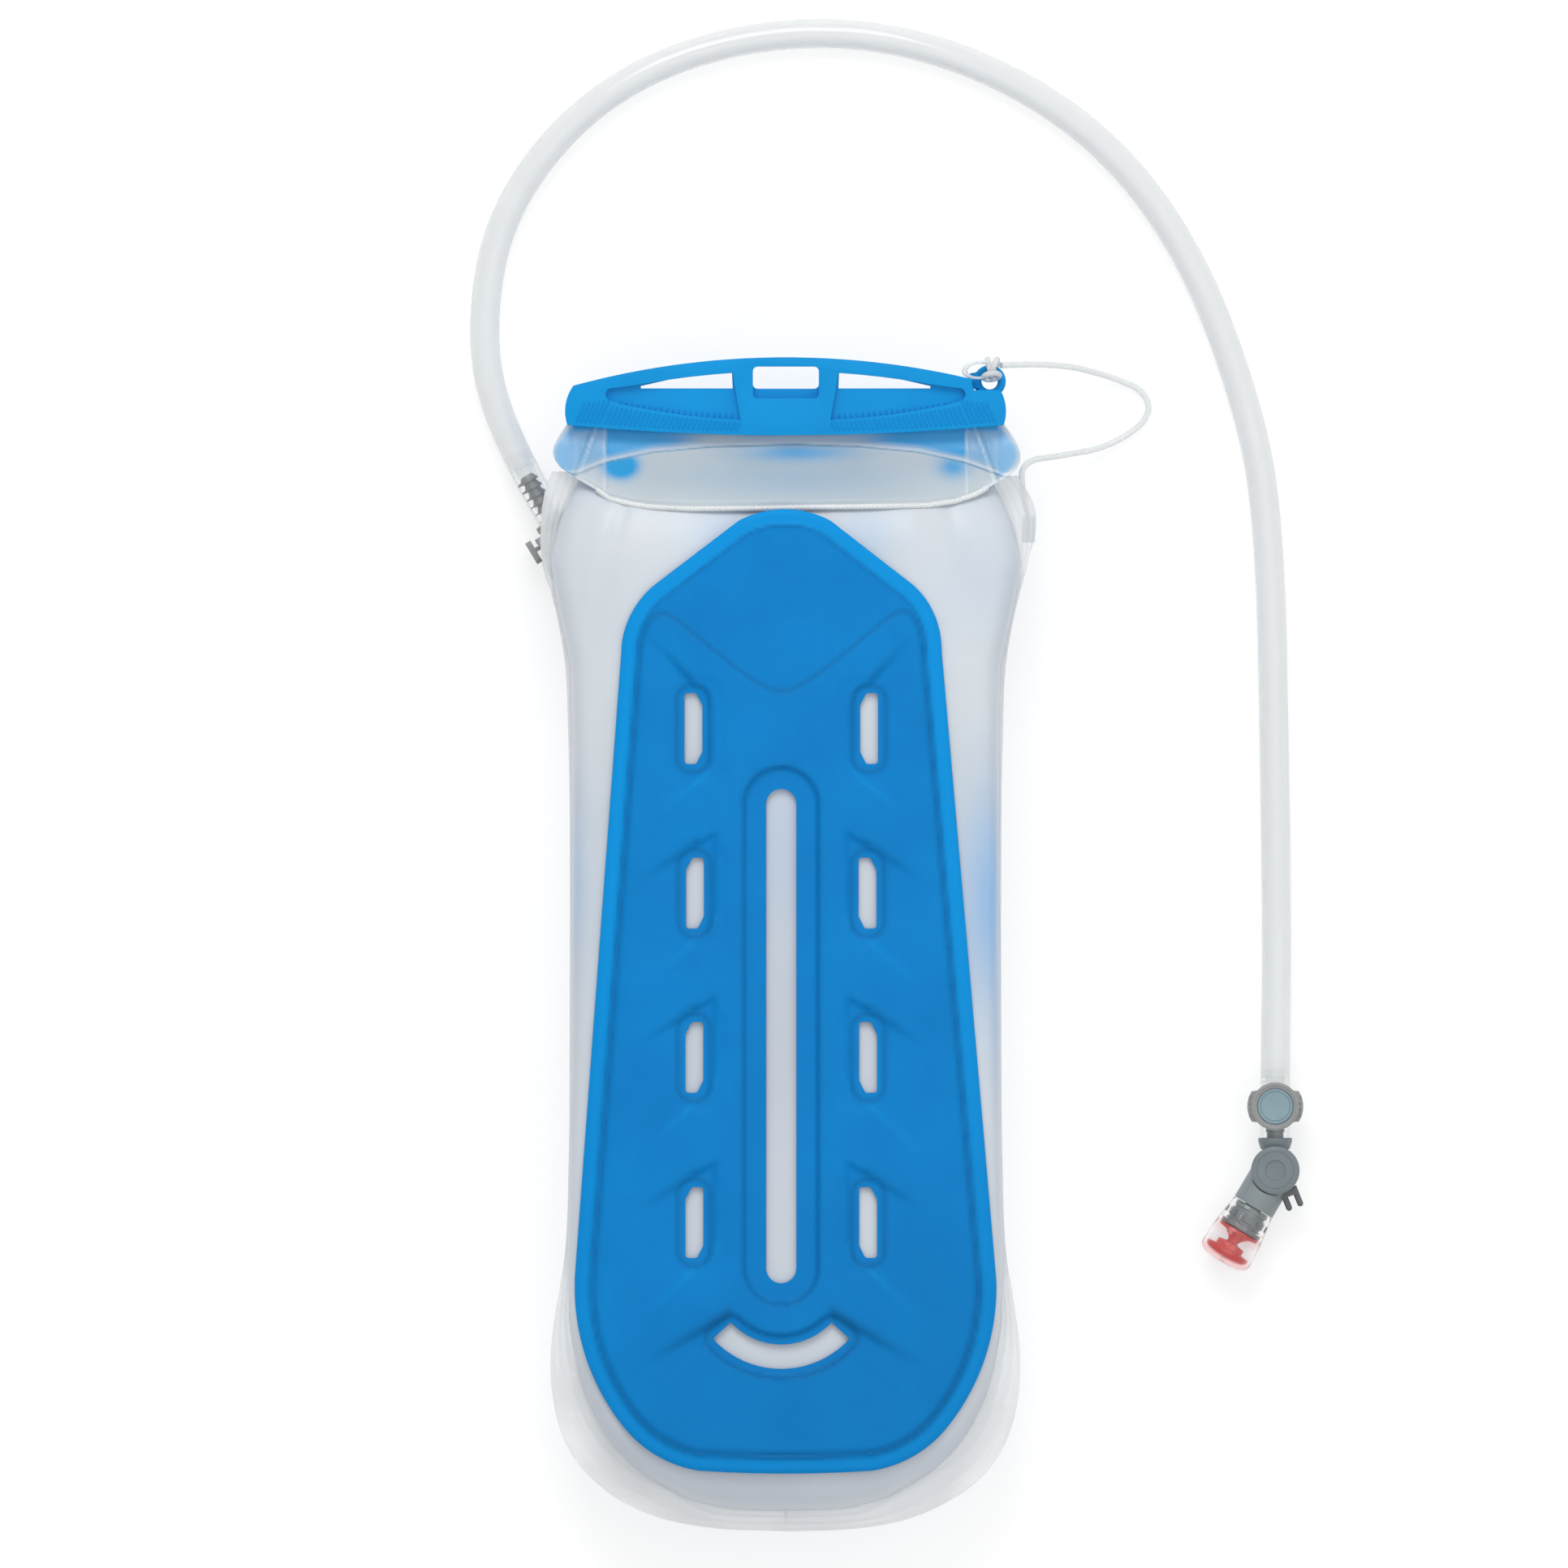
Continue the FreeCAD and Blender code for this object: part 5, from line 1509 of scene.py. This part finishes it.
def makePlug(settings):
    # nose, collar and ribbed barb in one turning, from the nose to the end of the barb
    tip = -settings["collarWall"] - settings["noseLength"]
    nose, root, rim = settings["nose"], settings["barbRoot"], settings["barbRim"]
    profile = [(settings["bore"], tip + 9.0), (settings["bore"], tip), (nose - 0.5, tip), (nose, tip + 0.5),
               (nose, -12.05), (3.15, -12.0), (3.15, -10.6), (nose, -10.55),
               (nose, -settings["collarWall"] - 0.4), (nose + 0.4, -settings["collarWall"]),
               (settings["collar"] - 0.4, -settings["collarWall"]),
               (settings["collar"], -settings["collarWall"] + 0.4), (settings["collar"], -0.4),
               (settings["collar"] - 0.4, 0.0), (root, 0.0)]
    rib = settings["barb"] / settings["ribs"]
    for i in range(settings["ribs"]):
        start = i * rib
        profile += [(root, start + 0.25 * rib), (rim, start + 0.30 * rib), (rim, start + 0.42 * rib),
                    (root, start + rib)]
    profile += [(root - 0.4, settings["barb"] + 0.4), (settings["bore"], settings["barb"] + 0.4),
                (settings["bore"], settings["barb"] - 9.0)]
    return turnedAt("hosePlug", profile, 56, 32, settings["place"], settings["heading"])


hosePlug = makePlug(connectorSettings)
finishPiece(hosePlug, "hose", "grey_plastic", ringPlastic, "hose_plug")


def softened(name, node, width, segments=2):
    piece = fromNode(name, node)
    bevelEdges(piece, width, segments)
    smooth(piece, 38)
    return piece


portHousing = softened("portHousing", "port_housing", 0.3)
finishPiece(portHousing, "reservoir", "port_plastic", portPlastic, "port_housing")
# the spring is pressed together between its seat in the port and the button
buttonSpring = fromNode("buttonSpring", "button_spring")
finishPiece(buttonSpring, None, "spring_steel", pinSteel, "button_spring")
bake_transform(buttonSpring)
releaseButton = softened("releaseButton", "release_button", 0.25)
finishPiece(releaseButton, "button", "grey_plastic", ringPlastic, "release_button")
print("connector made")


# magnet clip

clipSettings = {"place": (159.2, -52.8, 9.2), "ring": 7.8, "disc": 5.85, "discLow": 7.32, "discHigh": 8.35}


def makeClipDisc(settings):
    disc, low, high = settings["disc"], settings["discLow"], settings["discHigh"]
    profile = [(disc - 0.2, low), (disc, low + 0.2), (disc, high - 0.35), (disc - 0.35, high), (disc - 0.8, high),
               (disc - 0.95, high - 0.18), (disc - 1.15, high - 0.18), (disc - 1.3, high + 0.02),
               (disc * 0.45, high + 0.14), (disc * 0.12, high + 0.17)]
    return turnedAt("clipDisc", profile, 72, 28, settings["place"])


def makeClipBody(settings):
    body = fromNode("magnetClip", "clip_body")
    # a bead runs round the top of the ring and ribs stand on its two ears
    bevelEdges(body, 0.35, 3, 32)
    x, y, z = settings["place"]
    bead = torus("ringBead", settings["ring"] - 0.75, 0.42, 72, 10, (x, y, z + 8.1))
    smooth(bead, 60)
    ribs = []
    for side in (-1, 1):
        for offset in (-3.0, -1.0, 1.0, 3.0):
            x = side * 8.3
            rib = block("earRib", (x - 0.35, offset - 0.35, 2.4), (x + 0.35, offset + 0.35, 5.75))
            placeAt(rib, settings["place"])
            bevelEdges(rib, 0.2, 2, 30)
            ribs.append(rib)
    smooth(body, 38)
    return joined([body, bead] + ribs, "magnetClip")


finishPiece(makeClipBody(clipSettings), "clip", "grey_plastic", ringPlastic, "clip_body")
finishPiece(makeClipDisc(clipSettings), "clip", "disc_teal", discFinish, "clip_disc")


# bite valve

valveSettings = {
    "place": (159.2, -73.6, 9.2),
    "armHeading": -120.7,
    "cap": 7.9,
    "capLow": 5.4,
    "capHigh": 7.35,
    "nippleStart": 14.1,
    "nippleLength": 8.4,
    "sheathEnd": 34.7,
}


def makeCap(settings):
    r, low, high = settings["cap"], settings["capLow"], settings["capHigh"]
    profile = [(r - 0.5, low), (r, low + 0.4), (r, high - 0.7), (r - 0.25, high - 0.25), (r - 0.8, high),
               (r - 1.6, high), (r - 1.72, high - 0.14), (r - 2.0, high - 0.14), (r - 2.12, high),
               (3.3, high + 0.04), (3.15, high - 0.3), (2.5, high - 0.42), (0.9, high - 0.46)]
    return turnedAt("pivotCap", profile, 80, 28, settings["place"])


def makeNipple(settings):
    start, end = settings["nippleStart"], settings["nippleStart"] + settings["nippleLength"]
    profile = [(1.9, start + 6.0), (1.9, 8.6), (2.5, 8.5), (2.9, 8.9), (2.9, start), (5.5, start),
               (5.7, start + 0.3), (5.8, start + 1.6), (5.3, start + 1.8), (5.3, start + 2.7), (5.9, start + 2.9),
               (6.1, end - 3.0), (5.6, end - 2.8), (5.6, end - 2.0), (6.2, end - 1.8), (6.2, end - 1.4),
               (7.0, end - 1.3), (7.0, end - 0.2), (6.8, end), (1.9, end), (1.9, start + 6.4)]
    nipple = turned("biteNipple", profile, 64)
    bosses = []
    for angle in range(0, 360, 45):
        boss = block("boss", (-1.1, 5.5, start + 3.2), (1.1, 6.75, start + 5.4))
        bevelEdges(boss, 0.25, 2, 30)
        boss.rotation_euler = (0, 0, math.radians(angle))
        placeInMesh(boss)
        bosses.append(boss)
    nipple = joined([nipple] + bosses, "biteNipple")
    placeAt(nipple, settings["place"], settings["armHeading"], alongX=True)
    smooth(nipple, 30)
    return nipple


def makeSheath(settings):
    start, end = settings["nippleStart"] + 0.02, settings["sheathEnd"]
    profile = [(7.0, start), (7.25, start + 0.3), (7.35, start + 1.6), (7.95, start + 5.8),
               (8.35, start + 8.4), (8.2, start + 8.8), (8.4, start + 9.2), (8.65, start + 13.0),
               (8.85, start + 16.2), (8.9, start + 17.2), (8.65, start + 18.2), (8.1, start + 19.1),
               (6.6, start + 19.9), (4.2, end - 0.15), (1.2, end), (0.9, end - 0.9), (4.0, end - 1.15),
               (6.2, end - 1.9), (7.2, end - 2.6), (7.75, end - 3.6), (7.75, end - 5.0), (7.5, start + 13.0),
               (7.25, start + 8.6), (7.2, start + 7.1), (6.3, start + 6.9), (6.25, start + 3.0),
               (5.95, start + 0.4), (5.95, start)]
    sheath = turnedAt("biteSheath", profile, 72, 40, settings["place"], settings["armHeading"])
    # painted red light where the red core inside shows through
    heading = math.radians(settings["armHeading"])
    out = (meshPoints(sheath) - settings["place"]) @ (math.cos(heading), math.sin(heading), 0)
    paint(sheath, "paintedCoreRed", 0.55 * step((out - 29.0) / 4.0) + 0.35 * spot(out, 0, 23.5, 0, 1.6, 1))
    return sheath


def makeCore(settings):
    # ring, waisted stem and end disc
    start = settings["nippleStart"] + settings["nippleLength"] + 0.3
    profile = [(6.4, 0), (6.9, 0.25), (6.95, 1.0), (6.7, 1.3), (5.2, 1.45), (4.2, 1.9), (2.6, 3.0), (1.8, 4.0),
               (2.1, 4.6), (3.4, 4.9), (4.5, 5.1), (4.7, 5.5), (4.7, 6.9), (6.2, 7.2), (7.3, 7.4), (7.5, 7.8),
               (7.35, 8.7), (6.7, 9.4), (5.4, 9.9), (3.2, 10.3)]
    return turnedAt("biteCore", [(radius, start + out) for radius, out in profile], 64, 40,
                    settings["place"], settings["armHeading"])


finishPiece(softened("valveBody", "valve_body", 0.3), "hose", "grey_plastic", greyPlastic, "valve_body")
finishPiece(softened("valveArm", "valve_arm", 0.55, 3), "bite_arm", "grey_plastic", armPlastic, "valve_arm")
finishPiece(makeCap(valveSettings), "hose", "grey_plastic", greyPlastic, "pivot_cap")
finishPiece(softened("thumbLever", "thumb_lever", 0.2), "bite_arm", "lever_plastic", leverPlastic,
            "thumb_lever")
finishPiece(makeNipple(valveSettings), "bite_tip", "grey_plastic", armPlastic, "bite_nipple")
finishPiece(makeSheath(valveSettings), "bite_tip", "silicone", clearSilicone, "bite_sheath")
finishPiece(makeCore(valveSettings), "bite_tip", "core_red", coreRed, "bite_core")
print("bite valve made")


# parts carried over from the frame

nodeFinishes = {
    "plug_o_ring": sealRubber, "pivot_o_ring": sealRubber, "poppet_seal": sealRubber,
    "pivot_pin": pinSteel, "poppet_spring": pinSteel, "clip_magnet": magnetSteel,
    "port_base": portPlastic, "shutoff_poppet": portPlastic, "tether_tab": tabPlastic,
}
for node, finish in nodeFinishes.items():
    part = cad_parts[node]
    part.data.materials.clear()
    part.data.materials.append(finish)
print("carried-over parts finished")


# tether finished

finishPiece(sliderTether, None, "cord", clearCord, "slider_tether")
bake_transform(sliderTether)

print("all pieces made")
